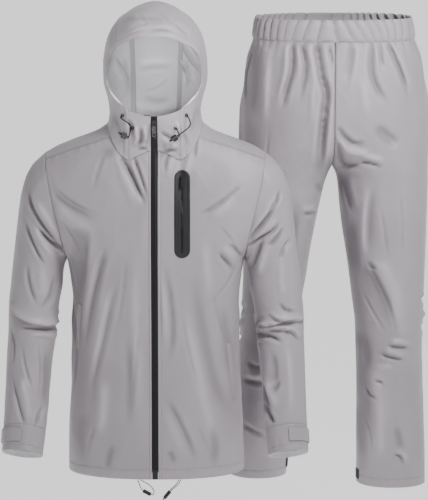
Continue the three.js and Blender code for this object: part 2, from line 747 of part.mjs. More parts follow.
function chinPoint(side, i, j) {
  const bottom = (k) => neckSeam(side, NECK_FRONT[Math.round(k * CHIN_COLUMNS)]);
  const top = (k) => chinTop(side, k);
  const right = (k) => collarSeam(side, k);
  return coons(bottom, top, (k) => zipEdge(side, k), right, j / CHIN_COLUMNS, i / COLLAR_ROWS);
}

// Trousers. side is 1 for the wearer's left leg.
function legStart(leg, z) {
  const inner = leg.inner(z);
  const outer = leg.outer(z);
  if (inner >= 0) return -90;
  const across = -(outer + inner) / (outer - inner);
  return -degrees(Math.asin(Math.min(Math.abs(across), 1) ** (leg.power(z) / 2)));
}

function waistRise(p) {
  const y = p.y - TROUSER_Y;
  p.z += ((BACK_RISE * y) / 105) * smooth(p.z, 60, WAIST_SEAM_Z);
  return p;
}

function legPoint(side, z, u, back) {
  const leg = side > 0 ? LEFT_LEG : RIGHT_LEG;
  const angle = mix(legStart(leg, z), 90, u);
  const power = 2 / leg.power(z);
  const half = (leg.outer(z) - leg.inner(z)) / 2;
  const across = (leg.outer(z) + leg.inner(z)) / 2 + half * signedPower(Math.sin(radians(angle)), power);
  const depth = back ? leg.back(z) : -leg.front(z);
  const narrowing = side > 0 ? 1 : RIGHT_SHARE.share(z);
  const set = side > 0 ? LEFT_SET.y(z) : RIGHT_SET.y(z);
  const away = depth * signedPower(Math.max(Math.cos(radians(angle)), 0), power);
  const p = point(TROUSER_X + side * narrowing * across, TROUSER_Y + set + away, z);
  creased(p, TROUSER_X, TROUSER_Y + set, TROUSER_FRONT_FOLDS, TROUSER_BACK_FOLDS);
  return waistRise(p);
}

function trouserPoint(side, back, i, j) {
  let z = TROUSER_ROWS[i];
  if (side < 0 && z < CROTCH_Z) z = CROTCH_Z + (z - CROTCH_Z) * RIGHT_LEG_SHARE;
  return legPoint(side, z, j / TROUSER_COLUMNS, back);
}

// The elasticated band, gathered all round
function bandPoint(i, j) {
  const z = BAND_LEVELS[i];
  const angle = (360 * j) / (2 * GATHERS);
  const leg = LEFT_LEG;
  const power = 2 / leg.power(z);
  const s = Math.sin(radians(angle));
  const c = Math.cos(radians(angle));
  const narrowing = s < 0 ? RIGHT_SHARE.share(z) : 1;
  const out = BAND_ROWS.out(z) + (j % 2 ? 1 : -1) * 0.5 * GATHER_HEIGHT * BAND_ROWS.gather(z);
  const x = (leg.outer(z) * narrowing + out) * signedPower(s, power);
  const y = (c > 0 ? -(leg.front(z) + out) : leg.back(z) + out) * signedPower(Math.abs(c), power);
  return waistRise(point(TROUSER_X + x, TROUSER_Y + y, z));
}

// The pieces of cloth. at(i, j) gives the outer point of row i and column j, and core a point that the
// inside faces. open names the edges that aren't seams.
const PANELS = {};

function panel(name, rows, columns, at, core, open = [], options = {}) {
  PANELS[name] = { name, rows, columns, at, core, open, closed: false, thickness: CLOTH, ...options };
}

for (const [who, side] of [["right", -1], ["left", 1]]) {
  const front = (i, j) => frontPanelPoint(side, i, j);
  const core = point(side * 90, 0, -400);
  panel(`jacket_front_${who}`, FRONT_ROWS, FRONT_COLUMNS, front, core, ["first", "left"]);
}
panel("jacket_back", BACK_ROWS, 2 * BACK_HALF, backPanelPoint, point(0, 0, -400), ["first"]);
panel("jacket_yoke", 2 * YOKE_HALF, SEAM_COLUMNS, yokePoint, point(0, 0, -170));
for (const [who, side] of [["right", -1], ["left", 1]]) {
  const at = (i, j) => sleevePoint(side, SLEEVE_STATIONS[i], RING_ANGLES[j]);
  const core = point(side * 257, -5, -330);
  const options = { closed: true, firstSeam: ARMHOLE_SEAM };
  panel(`sleeve_${who}`, SLEEVE_STATIONS.length - 1, RING_ANGLES.length, at, core, [], options);
  const cuffAt = (i, j) => sleevePoint(side, CUFF_STATIONS[i], RING_ANGLES[j]);
  const wrist = point(side * 282, -94, -650);
  const cuffOptions = { closed: true };
  panel(`cuff_${who}`, CUFF_STATIONS.length - 1, RING_ANGLES.length, cuffAt, wrist, ["last"], cuffOptions);
}
for (const [who, side] of [["right", -1], ["left", 1]]) {
  panel(`hood_side_${who}`, SIDE_ROWS, SIDE_COLUMNS, (i, j) => hoodSidePoint(side, i, j), HEAD);
  panel(`chin_${who}`, COLLAR_ROWS, CHIN_COLUMNS, (i, j) => chinPoint(side, i, j), HEAD, ["last", "left"]);
}
panel("hood_centre", CENTRE_ROWS, 2 * CENTRE_HALF, centrePoint, HEAD, ["first"]);
for (const [who, side] of [["right", -1], ["left", 1]]) {
  for (const back of [false, true]) {
    const at = (i, j) => trouserPoint(side, back, i, j);
    const core = point(TROUSER_X + side * 130, TROUSER_Y, -500);
    const name = `trouser_${back ? "back" : "front"}_${who}`;
    panel(name, TROUSER_ROWS.length - 1, TROUSER_COLUMNS, at, core, ["last"], { side, back });
  }
}
const waist = point(TROUSER_X, TROUSER_Y, 200);
const bandOpen = ["first", "last"];
panel("waistband", BAND_LEVELS.length - 1, 2 * GATHERS, bandPoint, waist, bandOpen, { closed: true });

// Lays out the grid of a piece: its points, and normals that face out
function layOut(piece) {
  const { rows, columns, closed, at, core } = piece;
  const across = closed ? columns : columns + 1;
  const index = (i, j) => i * across + (closed ? (j + columns) % columns : j);
  const points = [];
  for (let i = 0; i <= rows; i += 1) {
    for (let j = 0; j < across; j += 1) points.push(at(i, j));
  }
  const normals = points.map(() => point(0, 0, 0));
  for (let i = 0; i < rows; i += 1) {
    for (let j = 0; j < columns; j += 1) {
      const corners = [index(i, j), index(i, j + 1), index(i + 1, j + 1), index(i + 1, j)];
      const [a, b, c, d] = corners.map((k) => points[k]);
      const normal = c.clone().sub(a).cross(d.clone().sub(b));
      for (const k of corners) normals[k].add(normal);
    }
  }
  const middle = index(Math.floor(rows / 2), Math.floor(columns / 2));
  const facing = points[middle].clone().sub(core).dot(normals[middle]) < 0 ? -1 : 1;
  for (const normal of normals) normal.normalize().multiplyScalar(facing);
  Object.assign(piece, { across, index, points, normals, facing });
}

// Pieces that meet at a seam share one normal there, so that their walls end side by side. A sleeve counts
// twice, because at the armpit it meets both the front and the back.
function shareNormals(pieces) {
  const shared = [];
  for (const piece of pieces) {
    const { rows, columns, closed, across, index, points, normals } = piece;
    for (let i = 0; i <= rows; i += 1) {
      for (let j = 0; j < across; j += 1) {
        const edge = i === 0 || i === rows || (!closed && (j === 0 || j === columns));
        if (!edge) continue;
        const k = index(i, j);
        const found = shared.find((entry) => entry.at.distanceTo(points[k]) < 0.02);
        if (found) {
          found.sum.addScaledVector(normals[k], closed ? 2 : 1);
          found.users.push(normals[k]);
        } else {
          const sum = normals[k].clone().multiplyScalar(closed ? 2 : 1);
          shared.push({ at: points[k], sum, users: [normals[k]] });
        }
      }
    }
  }
  for (const entry of shared) {
    for (const normal of entry.users) normal.copy(entry.sum);
  }
  for (const piece of pieces) {
    for (const normal of piece.normals) normal.normalize();
  }
}

// Keeps a piece back from its seams
function keptBack(piece) {
  const { rows, columns, closed, across, index, points, open } = piece;
  const moved = points.map((p) => p.clone());
  const pull = (from, to, keep = SEAM) => {
    const way = points[to].clone().sub(points[from]);
    moved[from].addScaledVector(way, Math.min(keep / way.length(), 0.4));
  };
  for (let j = 0; j < across; j += 1) {
    if (!open.includes("first")) pull(index(0, j), index(1, j), piece.firstSeam);
    if (!open.includes("last")) pull(index(rows, j), index(rows - 1, j));
  }
  if (closed) return moved;
  for (let i = 0; i <= rows; i += 1) {
    if (!open.includes("left")) pull(index(i, 0), index(i, 1));
    if (!open.includes("right")) pull(index(i, columns), index(i, columns - 1));
  }
  return moved;
}

// The closed body between an outer and an inner grid of points
function shell(piece, outerPoints, innerPoints) {
  const { rows, columns, closed, index, facing } = piece;
  const positions = [...outerPoints, ...innerPoints].flatMap((p) => [p.x, p.y, p.z]);
  const inner = outerPoints.length;
  const faces = [];
  const quad = (a, b, c, d) => {
    if (facing > 0) faces.push(a, b, c, a, c, d);
    else faces.push(a, c, b, a, d, c);
  };
  for (let i = 0; i < rows; i += 1) {
    for (let j = 0; j < columns; j += 1) {
      const [a, b, c, d] = [index(i, j), index(i, j + 1), index(i + 1, j + 1), index(i + 1, j)];
      quad(a, b, c, d);
      quad(inner + a, inner + d, inner + c, inner + b);
    }
  }
  for (let j = 0; j < columns; j += 1) {
    const [a, b] = [index(0, j), index(0, j + 1)];
    const [c, d] = [index(rows, j), index(rows, j + 1)];
    quad(a, inner + a, inner + b, b);
    quad(d, inner + d, inner + c, c);
  }
  for (let i = 0; !closed && i < rows; i += 1) {
    const [a, b] = [index(i, 0), index(i + 1, 0)];
    const [c, d] = [index(i, columns), index(i + 1, columns)];
    quad(b, inner + b, inner + a, a);
    quad(c, inner + c, inner + d, d);
  }
  return geometryOf(positions, faces);
}

function geometryOf(positions, faces) {
  const geometry = new THREE.BufferGeometry();
  geometry.setAttribute("position", new THREE.Float32BufferAttribute(positions, 3));
  geometry.setIndex(faces);
  return geometry;
}

// The wall of a piece. On the trousers the inside keeps to its own side of the centre plane.
function wallGeometry(piece) {
  const outer = keptBack(piece);
  const inner = outer.map((p, k) => p.clone().addScaledVector(piece.normals[k], -piece.thickness));
  if (piece.side) {
    for (const p of [...outer, ...inner]) {
      const across = piece.side * (p.x - TROUSER_X);
      if (across < SEAM) p.x = TROUSER_X + piece.side * SEAM;
    }
  }
  return shell(piece, outer, inner);
}

const suit = new THREE.Group();
suit.name = "rain_suit";

// Adds a named piece, at a point and tipped about X by degrees
function add(name, geometry, material, at = point(0, 0, 0), tip = 0) {
  const mesh = new THREE.Mesh(geometry, material.clone());
  mesh.name = name;
  mesh.position.copy(at);
  mesh.rotation.x = radians(tip);
  suit.add(mesh);
  return mesh;
}

for (const piece of Object.values(PANELS)) layOut(piece);
shareNormals(Object.values(PANELS));
for (const piece of Object.values(PANELS)) add(piece.name, wallGeometry(piece), cloth);

// What lies on a panel: the point of its outer facets in front of x, z, and the normal there
function onFacets(piece, x, z) {
  const { rows, columns, index, points, normals } = piece;
  let found = null;
  for (let i = 0; i < rows; i += 1) {
    for (let j = 0; j < columns; j += 1) {
      const [a, b, c, d] = [index(i, j), index(i, j + 1), index(i + 1, j + 1), index(i + 1, j)];
      for (const corners of [[a, b, c], [a, c, d]]) {
        const [p, q, r] = corners.map((k) => points[k]);
        const area = (q.x - p.x) * (r.z - p.z) - (r.x - p.x) * (q.z - p.z);
        const v = ((x - p.x) * (r.z - p.z) - (r.x - p.x) * (z - p.z)) / area;
        const w = ((q.x - p.x) * (z - p.z) - (x - p.x) * (q.z - p.z)) / area;
        const u = 1 - v - w;
        if (u < -1e-6 || v < -1e-6 || w < -1e-6) continue;
        const weights = [u, v, w];
        const at = point(0, 0, 0);
        const normal = point(0, 0, 0);
        for (const [n, k] of corners.entries()) {
          at.addScaledVector(points[k], weights[n]);
          normal.addScaledVector(normals[k], weights[n]);
        }
        if (!found || at.y < found.at.y) found = { at, normal: normal.normalize() };
      }
    }
  }
  if (!found) throw new Error(`nothing of ${piece.name} at ${x}, ${z}`);
  return found;
}

// A patch that lies on a panel, clear of it by a gap. place(i, j) gives its x and z.
function patchGeometry(piece, rows, columns, place, gap, thickness) {
  const inner = [];
  const outer = [];
  for (let i = 0; i <= rows; i += 1) {
    for (let j = 0; j <= columns; j += 1) {
      const { x, z } = place(i, j);
      const { at, normal } = onFacets(piece, x, z);
      inner.push(at.clone().addScaledVector(normal, gap));
      outer.push(at.clone().addScaledVector(normal, gap + thickness));
    }
  }
  const index = (i, j) => i * (columns + 1) + j;
  const a = outer[index(0, 0)];
  const across = outer[index(0, 1)].clone().sub(a);
  const upward = outer[index(1, 0)].clone().sub(a);
  const normal = outer[0].clone().sub(inner[0]);
  const facing = across.cross(upward).dot(normal) > 0 ? 1 : -1;
  return shell({ rows, columns, closed: false, index, facing }, outer, inner);
}

// Zip: a tape between the fronts and the chin panels, with the closed teeth standing out along its middle
const ZIP_COLUMNS = [-6.5, -2.2, -1.7, 1.7, 2.2, 6.5];
const ZIP_RELIEF = [0, 0, 0.9, 0.9, 0, 0];
const ZIP_START_ROW = 1; // the end box takes the rows below

function zipRowEdges(row) {
  if (row <= FRONT_ROWS) return [-1, 1].map((side) => frontPanelPoint(side, row, 0));
  return [-1, 1].map((side) => zipEdge(side, (row - FRONT_ROWS) / COLLAR_ROWS));
}

const zipPiece = {
  rows: FRONT_ROWS + COLLAR_ROWS - ZIP_START_ROW,
  columns: ZIP_COLUMNS.length - 1,
  closed: false,
  core: point(0, 0, -300),
  at: (i, j) => {
    const [right, left] = zipRowEdges(i + ZIP_START_ROW);
    return right.lerp(left, 0.5 + ZIP_COLUMNS[j] / (2 * ZIP_HALF));
  },
};
layOut(zipPiece);
const zipOuter = [];
const zipInner = [];
for (const [k, p] of zipPiece.points.entries()) {
  const normal = zipPiece.normals[k];
  zipOuter.push(p.clone().addScaledVector(normal, ZIP_RELIEF[k % zipPiece.across]));
  zipInner.push(p.clone().addScaledVector(normal, -CLOTH));
}
add("zip", shell(zipPiece, zipOuter, zipInner), tape);

// Solids joined and cut from simple forms
function solidOf(geometry) {
  const bare = geometry.clone();
  bare.deleteAttribute("normal");
  bare.deleteAttribute("uv");
  const merged = mergeVertices(bare, 1e-4);
  const triVerts = new Uint32Array(merged.index.array);
  const vertProperties = merged.attributes.position.array;
  return new wasm.Manifold(new wasm.Mesh({ numProp: 3, vertProperties, triVerts }));
}

function geometryOfSolid(solid) {
  const mesh = solid.getMesh();
  const positions = [];
  for (let i = 0; i < mesh.numVert; i += 1) {
    const at = i * mesh.numProp;
    positions.push(mesh.vertProperties[at], mesh.vertProperties[at + 1], mesh.vertProperties[at + 2]);
  }
  return geometryOf(positions, Array.from(mesh.triVerts));
}

function joined(forms) {
  return forms.map(solidOf).reduce((whole, solid) => whole.add(solid));
}

// A plate with rounded corners in the XY plane, as thick as depth along Z, about the origin
function roundedPlate(width, height, depth, radius) {
  const [x, y] = [width / 2 - radius, height / 2 - radius];
  const shape = new THREE.Shape();
  shape.absarc(x, y, radius, 0, Math.PI / 2);
  shape.absarc(-x, y, radius, Math.PI / 2, Math.PI);
  shape.absarc(-x, -y, radius, Math.PI, 1.5 * Math.PI);
  shape.absarc(x, -y, radius, 1.5 * Math.PI, 2 * Math.PI);
  const form = new THREE.ExtrudeGeometry(shape, { depth, bevelEnabled: false, curveSegments: 2 });
  return form.translate(0, 0, -depth / 2);
}

// The same plate standing in the XZ plane, with its thickness along Y
function standingPlate(width, height, thick, radius) {
  return roundedPlate(width, height, thick, radius).rotateX(Math.PI / 2);
}

function crossBar(length, radius, sides) {
  return new THREE.CylinderGeometry(radius, radius, length, sides).rotateZ(Math.PI / 2);
}

const boxStart = frontPanelPoint(1, 0, 0);
const BOX = { width: 12.6, height: 20, thick: 3 };
const zipBox = standingPlate(BOX.width, BOX.height, BOX.thick, 1.5);
add("zip_box", zipBox, plastic, point(0, boxStart.y, boxStart.z + BOX.height / 2 + 0.2));

// A zip slider with its bridge. It stands in the XZ plane with its back at the origin and its front at -Y,
// and the bridge's bar is the axis of the pull.
const BAR_RADIUS = 0.8;
const EYE_INNER = 1.15;
const EYE_OUTER = 2.1;

function sliderGeometry({ width, height, thick, barOut }) {
  const tall = barOut + BAR_RADIUS + 0.4;
  const reach = width / 2 - 1.1;
  const forms = [standingPlate(width, height, thick, 1.5).translate(0, -thick / 2, 0)];
  for (const side of [-1, 1]) {
    forms.push(new THREE.BoxGeometry(1.2, tall, 2.4).translate(side * reach, 0.4 - thick - tall / 2, 0));
  }
  forms.push(crossBar(width - 1.6, BAR_RADIUS, 10).translate(0, -thick - barOut, 0));
  return geometryOfSolid(joined(forms));
}

// A pull: an eye round the bar at the origin, and a tab that hangs down from it with a hole near its end
function pullGeometry({ length, width, thick, eyeWidth }) {
  const whole = joined([
    crossBar(eyeWidth, EYE_OUTER, 12),
    new THREE.BoxGeometry(eyeWidth, thick, 4).translate(0, 0, -3),
    standingPlate(width, length - 4, thick, 2).translate(0, 0, -4 - (length - 4) / 2),
  ]);
  const hole = new THREE.CylinderGeometry(1.8, 1.8, 2 * thick, 8).translate(0, 0, 5 - length);
  const bore = crossBar(eyeWidth + 2, EYE_INNER, 12);
  return geometryOfSolid(whole.subtract(solidOf(hole)).subtract(solidOf(bore)));
}

// Places a slider at a point, tipped in degrees to lie along the cloth, and gives the middle of its bar
function placeSlider(name, slider, at, tip) {
  add(name, sliderGeometry(slider), plastic, at, tip);
  const bar = point(0, -slider.thick - slider.barOut, 0);
  return bar.applyAxisAngle(point(1, 0, 0), radians(tip)).add(at);
}

const MAIN_SLIDER = { z: 16, width: 10, height: 15, thick: 4.2, barOut: 2.6 };
const MAIN_PULL = { length: 25, width: 8.4, thick: 1.6, eyeWidth: 4.4 };
const tapeBelow = zipRowEdges(FRONT_ROWS + COLLAR_ROWS - 1)[0];
const tapeTop = zipRowEdges(FRONT_ROWS + COLLAR_ROWS)[0];
const tapeShare = (MAIN_SLIDER.z - tapeBelow.z) / (tapeTop.z - tapeBelow.z);
const tapeTip = degrees(Math.atan2(tapeBelow.y - tapeTop.y, tapeTop.z - tapeBelow.z));
const sliderSeat = point(0, mix(tapeBelow.y, tapeTop.y, tapeShare) - 1.5, MAIN_SLIDER.z);
const mainBar = placeSlider("zip_slider", MAIN_SLIDER, sliderSeat, tapeTip);
add("zip_pull", pullGeometry(MAIN_PULL), plastic, mainBar);

// Chest pocket on the left front: a welded patch, the closed zip along its middle, its slider and pull
const POCKET = { middle: 58.5, half: 16.5, top: -80, bottom: -263 };
const COIL = { half: 2, top: -92, bottom: -251, rows: 12, thick: 0.9 };
const POCKET_SLIDER = { z: -97, width: 7.4, height: 10, thick: 2.8, barOut: 2.4 };
const POCKET_PULL = { length: 20, width: 6.4, thick: 1.4, eyeWidth: 3.2 };
const chest = PANELS.jacket_front_left;

// The rows of a patch with round ends: the height of each and half its width
function stadiumRows(half, top, bottom, straightRows) {
  const list = [];
  for (const angle of [18, 42, 66]) {
    const reach = half * (1 - Math.cos(radians(angle)));
    const row = half * Math.sin(radians(angle));
    list.push({ z: top - reach, half: row }, { z: bottom + reach, half: row });
  }
  for (const share of steps(straightRows)) list.push({ z: mix(top - half, bottom + half, share), half });
  return list.sort((a, b) => b.z - a.z);
}

const pocketRows = stadiumRows(POCKET.half, POCKET.top, POCKET.bottom, 9);
const pocketPlace = (i, j) => ({ x: POCKET.middle + pocketRows[i].half * (j / 2 - 1), z: pocketRows[i].z });
add("pocket_panel", patchGeometry(chest, pocketRows.length - 1, 4, pocketPlace, PATCH_LIFT, TAPE), tape);
const coilPlace = (i, j) => ({
  x: POCKET.middle + COIL.half * (2 * j - 1),
  z: mix(COIL.top, COIL.bottom, i / COIL.rows),
});
const coilLift = PATCH_LIFT + TAPE + 0.5;
add("pocket_zip", patchGeometry(chest, COIL.rows, 1, coilPlace, coilLift, COIL.thick), tape);
const pocketSpot = onFacets(chest, POCKET.middle, POCKET_SLIDER.z);
const pocketBelow = onFacets(chest, POCKET.middle, POCKET_SLIDER.z - POCKET_PULL.length);
const pocketTip = degrees(Math.atan2(pocketBelow.at.y - pocketSpot.at.y, POCKET_PULL.length));
const pocketSeat = pocketSpot.at.clone().addScaledVector(pocketSpot.normal, 4.1);
const pocketBar = placeSlider("pocket_slider", POCKET_SLIDER, pocketSeat, pocketTip);
add("pocket_pull", pullGeometry(POCKET_PULL), plastic, pocketBar, pocketTip - 2);

// Hand pockets: a welt along each slanted opening, from its top to its bottom
const WELTS = {
  right: { top: [-165, -372], bottom: [-172, -470] },
  left: { top: [160, -455], bottom: [173, -575] },
};
const WELT_WIDTH = 9;
const WELT_ROWS = 9;
for (const [who, { top, bottom }] of Object.entries(WELTS)) {
  const inward = who === "left" ? -1 : 1;
  const place = (i, j) => ({
    x: mix(top[0], bottom[0], i / WELT_ROWS) + (inward * WELT_WIDTH * j) / 2,
    z: mix(top[1], bottom[1], i / WELT_ROWS),
  });
  const front = PANELS[`jacket_front_${who}`];
  add(`hand_pocket_${who}`, patchGeometry(front, WELT_ROWS, 2, place, PATCH_LIFT, TAPE), cloth);
}

// A strap lies on the outside of each cuff, made from the cuff's own points
for (const who of ["right", "left"]) {
  const cuff = PANELS[`cuff_${who}`];
  const inner = [];
  const outer = [];
  for (const i of [1, 2]) {
    for (const angle of STRAP_ANGLES) {
      const k = cuff.index(i, RING_ANGLES.indexOf(angle));
      inner.push(cuff.points[k].clone().addScaledVector(cuff.normals[k], LIFT));
      outer.push(cuff.points[k].clone().addScaledVector(cuff.normals[k], LIFT + STRAP));
    }
  }
  const columns = STRAP_ANGLES.length - 1;
  const index = (i, j) => i * (columns + 1) + j;
  const strap = { rows: 1, columns, closed: false, index, facing: cuff.facing };
  add(`cuff_strap_${who}`, shell(strap, outer, inner), cloth);
}

// A tab of hook-and-loop tape on the inside of each leg, near the hem
const HEM_TABS = { left: { top: -786, bottom: -808 }, right: { top: -764, bottom: -786 } };
const HEM_TAB_LIFT = 0.7;
for (const [who, { top, bottom }] of Object.entries(HEM_TABS)) {
  const side = who === "left" ? 1 : -1;
  const at = (i, j) => legPoint(side, mix(top, bottom, i), 0.02 + j / (2 * TROUSER_COLUMNS), false);
  const tab = { rows: 1, columns: 3, closed: false, at, core: point(TROUSER_X + side * 140, TROUSER_Y, top) };
  layOut(tab);
  const moved = (out) => tab.points.map((p, k) => p.clone().addScaledVector(tab.normals[k], out));
  add(`hem_tab_${who}`, shell(tab, moved(HEM_TAB_LIFT + STRAP), moved(HEM_TAB_LIFT)), tape);
}

// Drawcords. Each is listed as the points it passes: out of one eyelet, through its lock, round and back.
const CORDS = {
  hood_cord_right: {
    radius: 1.2,
    sides: 6,
    points: [
      [-67, -89.2, 33],
      [-70, -93.2, 29.7],
      [-50, -110, 14],
      [-52.8, -117, -8.8],
      [-56.4, -117, -7],
      [-61.3, -117, -4.6],
      [-66.2, -117, -2.1],
      [-73.2, -117, -0.4],
      [-67.6, -117, -5],
      [-62.7, -117, -7.4],
      [-57.8, -117, -9.9],
      [-54.2, -117, -11.7],
      [-47.4, -106.5, 7.3],
      [-45.5, -99.8, 7.8],
    ],
  },
  hood_cord_left: {
    radius: 1.2,
    sides: 6,
    points: [
      [68.2, -88.4, 34],
      [71.2, -92.3, 30.7],
      [75, -110, 14],
      [50.9, -118, -5.3],
      [47.4, -118, -7.3],
      [42.7, -118, -10.1],
      [37.9, -118, -12.9],
      [32.7, -118, -17.8],
      [39.6, -118, -15.7],
      [44.3, -118, -12.9],
      [49.1, -118, -10.1],
      [52.5, -118, -8.1],
      [47.4, -106.5, 7.3],
      [45.5, -99.8, 7.8],
    ],
  },
  hem_cord_right: {
    radius: 0.9,
    sides: 5,
    points: [
      [-37, -121, -738.8],
      [-34, -121, -747],
      [-29.5, -121, -758],
      [-25, -121, -762.5],
      [-17.6, -121, -766.5],
      [-10.2, -121, -770.5],
      [-4.5, -121, -771],
      [-2.5, -121, -764],
      [-9, -121, -753],
      [-22, -121, -744],
      [-31, -121, -738.8],
    ],
  },
  hem_cord_left: {
    radius: 0.9,
    sides: 5,
    points: [
      [50.6, -120.5, -738.8],
      [45, -121, -748],
      [32.6, -121, -760],
      [30.1, -121, -763.1],
      [24.5, -121, -770.2],
      [18.9, -121, -777.2],
      [16.8, -121, -782],
      [20.9, -121, -778.9],
      [26.5, -121, -771.8],
      [32.1, -121, -764.8],
      [34.6, -121, -761.6],
      [49.5, -121, -748],
      [55, -120, -738.8],
    ],
  },
};

for (const [name, { radius, sides, points }] of Object.entries(CORDS)) {
  const corners = Array.from({ length: sides }, (_, k) => (2 * Math.PI * k) / sides);
  const section = new THREE.Shape(
    corners.map((angle) => new THREE.Vector2(radius * Math.cos(angle), radius * Math.sin(angle))),
  );
  const extrudePath = new THREE.CatmullRomCurve3(points.map((p) => point(...p)), false, "centripetal");
  add(name, new THREE.ExtrudeGeometry(section, { extrudePath, steps: 28 }), cordMaterial);
}

// Cord locks: a short barrel with a slot along it, which the cord goes through. The middle of each, the way
// the cord goes, and its size.
const HOOD_LOCK = { width: 13, height: 8, length: 11, cord: 1.2 };
const HEM_LOCK = { width: 8, height: 6.4, length: 18, cord: 0.9 };
const LOCKS = {
  hood_lock_right: { at: [-62, -117, -6], along: [-0.9, 0, 0.45], ...HOOD_LOCK },
  hood_lock_left: { at: [43.5, -118, -11.5], along: [-0.85, 0, -0.5], ...HOOD_LOCK },
  hem_lock_right: { at: [-17.6, -121, -766.5], along: [0.88, 0, -0.48], ...HEM_LOCK },
  hem_lock_left: { at: [25.5, -121, -771], along: [-0.62, 0, -0.78], ...HEM_LOCK },
};

for (const [name, { at, along, width, height, length, cord }] of Object.entries(LOCKS)) {
  const barrel = solidOf(roundedPlate(width, height, length, height / 2 - 0.3));
  const slot = solidOf(roundedPlate(4 * cord + 2.6, 2 * cord + 1.6, length + 4, cord + 0.4));
  const mesh = add(name, geometryOfSolid(barrel.subtract(slot)), plastic, point(...at));
  const forward = point(...along).normalize();
  const across = point(0, -1, 0).cross(forward).normalize();
  const basis = new THREE.Matrix4().makeBasis(across, forward.clone().cross(across), forward);
  mesh.quaternion.setFromRotationMatrix(basis);
}

// Hood eyelets: where each sits, seen from the front, and on which piece
const EYELET = { outer: 4, inner: 2.1, thick: 1.2, lift: 0.7 };
const EYELETS = {
  eyelet_upper_right: { x: -66, z: 33, on: "hood_side_right" },
  eyelet_lower_right: { x: -45, z: 8, on: "chin_right" },
  eyelet_upper_left: { x: 67, z: 34, on: "hood_side_left" },
  eyelet_lower_left: { x: 45, z: 8, on: "chin_left" },
};
for (const [name, { x, z, on }] of Object.entries(EYELETS)) {
  const { at, normal } = onFacets(PANELS[on], x, z);
  const ring = new THREE.Shape().absarc(0, 0, EYELET.outer, 0, 2 * Math.PI);
  ring.holes.push(new THREE.Path().absarc(0, 0, EYELET.inner, 0, 2 * Math.PI, true));
  const options = { depth: EYELET.thick, bevelEnabled: false, curveSegments: 5 };
  const form = new THREE.ExtrudeGeometry(ring, options);
  const mesh = add(name, form, plastic, at.addScaledVector(normal, EYELET.lift));
  mesh.quaternion.setFromUnitVectors(point(0, 0, 1), normal);
}

export default suit;
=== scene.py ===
import json
import math

import bpy
import numpy as np
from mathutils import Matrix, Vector
from mathutils.bvhtree import BVHTree

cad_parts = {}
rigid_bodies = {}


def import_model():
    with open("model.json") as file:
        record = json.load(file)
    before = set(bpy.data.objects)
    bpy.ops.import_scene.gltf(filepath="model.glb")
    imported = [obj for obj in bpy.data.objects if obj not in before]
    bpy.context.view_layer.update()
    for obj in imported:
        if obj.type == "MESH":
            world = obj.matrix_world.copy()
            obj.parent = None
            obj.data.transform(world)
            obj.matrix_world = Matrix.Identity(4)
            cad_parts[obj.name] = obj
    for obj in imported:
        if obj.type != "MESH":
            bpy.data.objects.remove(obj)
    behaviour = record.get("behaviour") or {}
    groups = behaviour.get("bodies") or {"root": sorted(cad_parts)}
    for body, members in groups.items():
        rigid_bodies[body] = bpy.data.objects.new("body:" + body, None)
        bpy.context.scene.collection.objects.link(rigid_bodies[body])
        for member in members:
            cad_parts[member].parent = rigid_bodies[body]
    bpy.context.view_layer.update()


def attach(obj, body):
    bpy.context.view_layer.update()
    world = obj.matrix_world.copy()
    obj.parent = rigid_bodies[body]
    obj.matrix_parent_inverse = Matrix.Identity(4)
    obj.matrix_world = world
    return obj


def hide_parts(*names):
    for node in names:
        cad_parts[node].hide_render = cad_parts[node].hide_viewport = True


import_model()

BODY_NAME = "suit"
MM = 0.001
CORD_STEPS = 96


def bell(d, width):
    """1 where d is 0, falling away to both sides."""
    return np.exp(-(d / width) ** 2)


def unit(v):
    return v / np.linalg.norm(v, axis=-1, keepdims=True)



# Camera: at the photograph's angle, 8 degrees down
TARGET = Vector((0.125, 0.0, -0.2627))
DISTANCE = 4.5
PITCH = math.radians(8)
camera_data = bpy.data.cameras.new("camera")
camera_data.lens = 150.7
camera_data.sensor_width = 36
camera = bpy.data.objects.new("camera", camera_data)
back = Vector((0, -math.cos(PITCH), math.sin(PITCH)))
camera.location = TARGET + back * DISTANCE
camera.rotation_euler = (math.radians(90) - PITCH, 0, 0)
bpy.context.collection.objects.link(camera)
bpy.context.scene.camera = camera


# ---------------------------------------------------------------- materials
def new_material(name):
    m = bpy.data.materials.new(name)
    m.use_nodes = True
    tree = m.node_tree
    shader = tree.nodes["Principled BSDF"]
    return m, tree, shader


def node(tree, kind, **values):
    n = tree.nodes.new(kind)
    for key, value in values.items():
        if key in n.inputs:
            n.inputs[key].default_value = value
        else:
            setattr(n, key, value)
    return n


def set_inputs(n, values):
    for key, value in values.items():
        n.inputs[key].default_value = value


def noise_node(tree, place, **values):
    n = node(tree, "ShaderNodeTexNoise", **values)
    tree.links.new(place.outputs["Object"], n.inputs["Vector"])
    return n


def wave_node(tree, scale, distortion, direction):
    return node(tree, "ShaderNodeTexWave", Scale=scale, Distortion=distortion, wave_type="BANDS",
                bands_direction=direction)


def bump(tree, height, strength, distance, before=None):
    b = node(tree, "ShaderNodeBump", Strength=strength, Distance=distance)
    tree.links.new(height, b.inputs["Height"])
    if before is not None:
        tree.links.new(before.outputs[0], b.inputs["Normal"])
    return b


def math_node(tree, operation, a, b):
    n = tree.nodes.new("ShaderNodeMath")
    n.operation = operation
    for i, value in enumerate((a, b)):
        if isinstance(value, (int, float)):
            n.inputs[i].default_value = value
        else:
            tree.links.new(value, n.inputs[i])
    return n.outputs[0]


def mixed(tree, factor, a, b):
    n = tree.nodes.new("ShaderNodeMix")
    n.data_type = "RGBA"
    for i, value in ((0, factor), (6, a), (7, b)):
        if isinstance(value, (int, float, tuple)):
            n.inputs[i].default_value = value
        else:
            tree.links.new(value, n.inputs[i])
    return n.outputs[2]


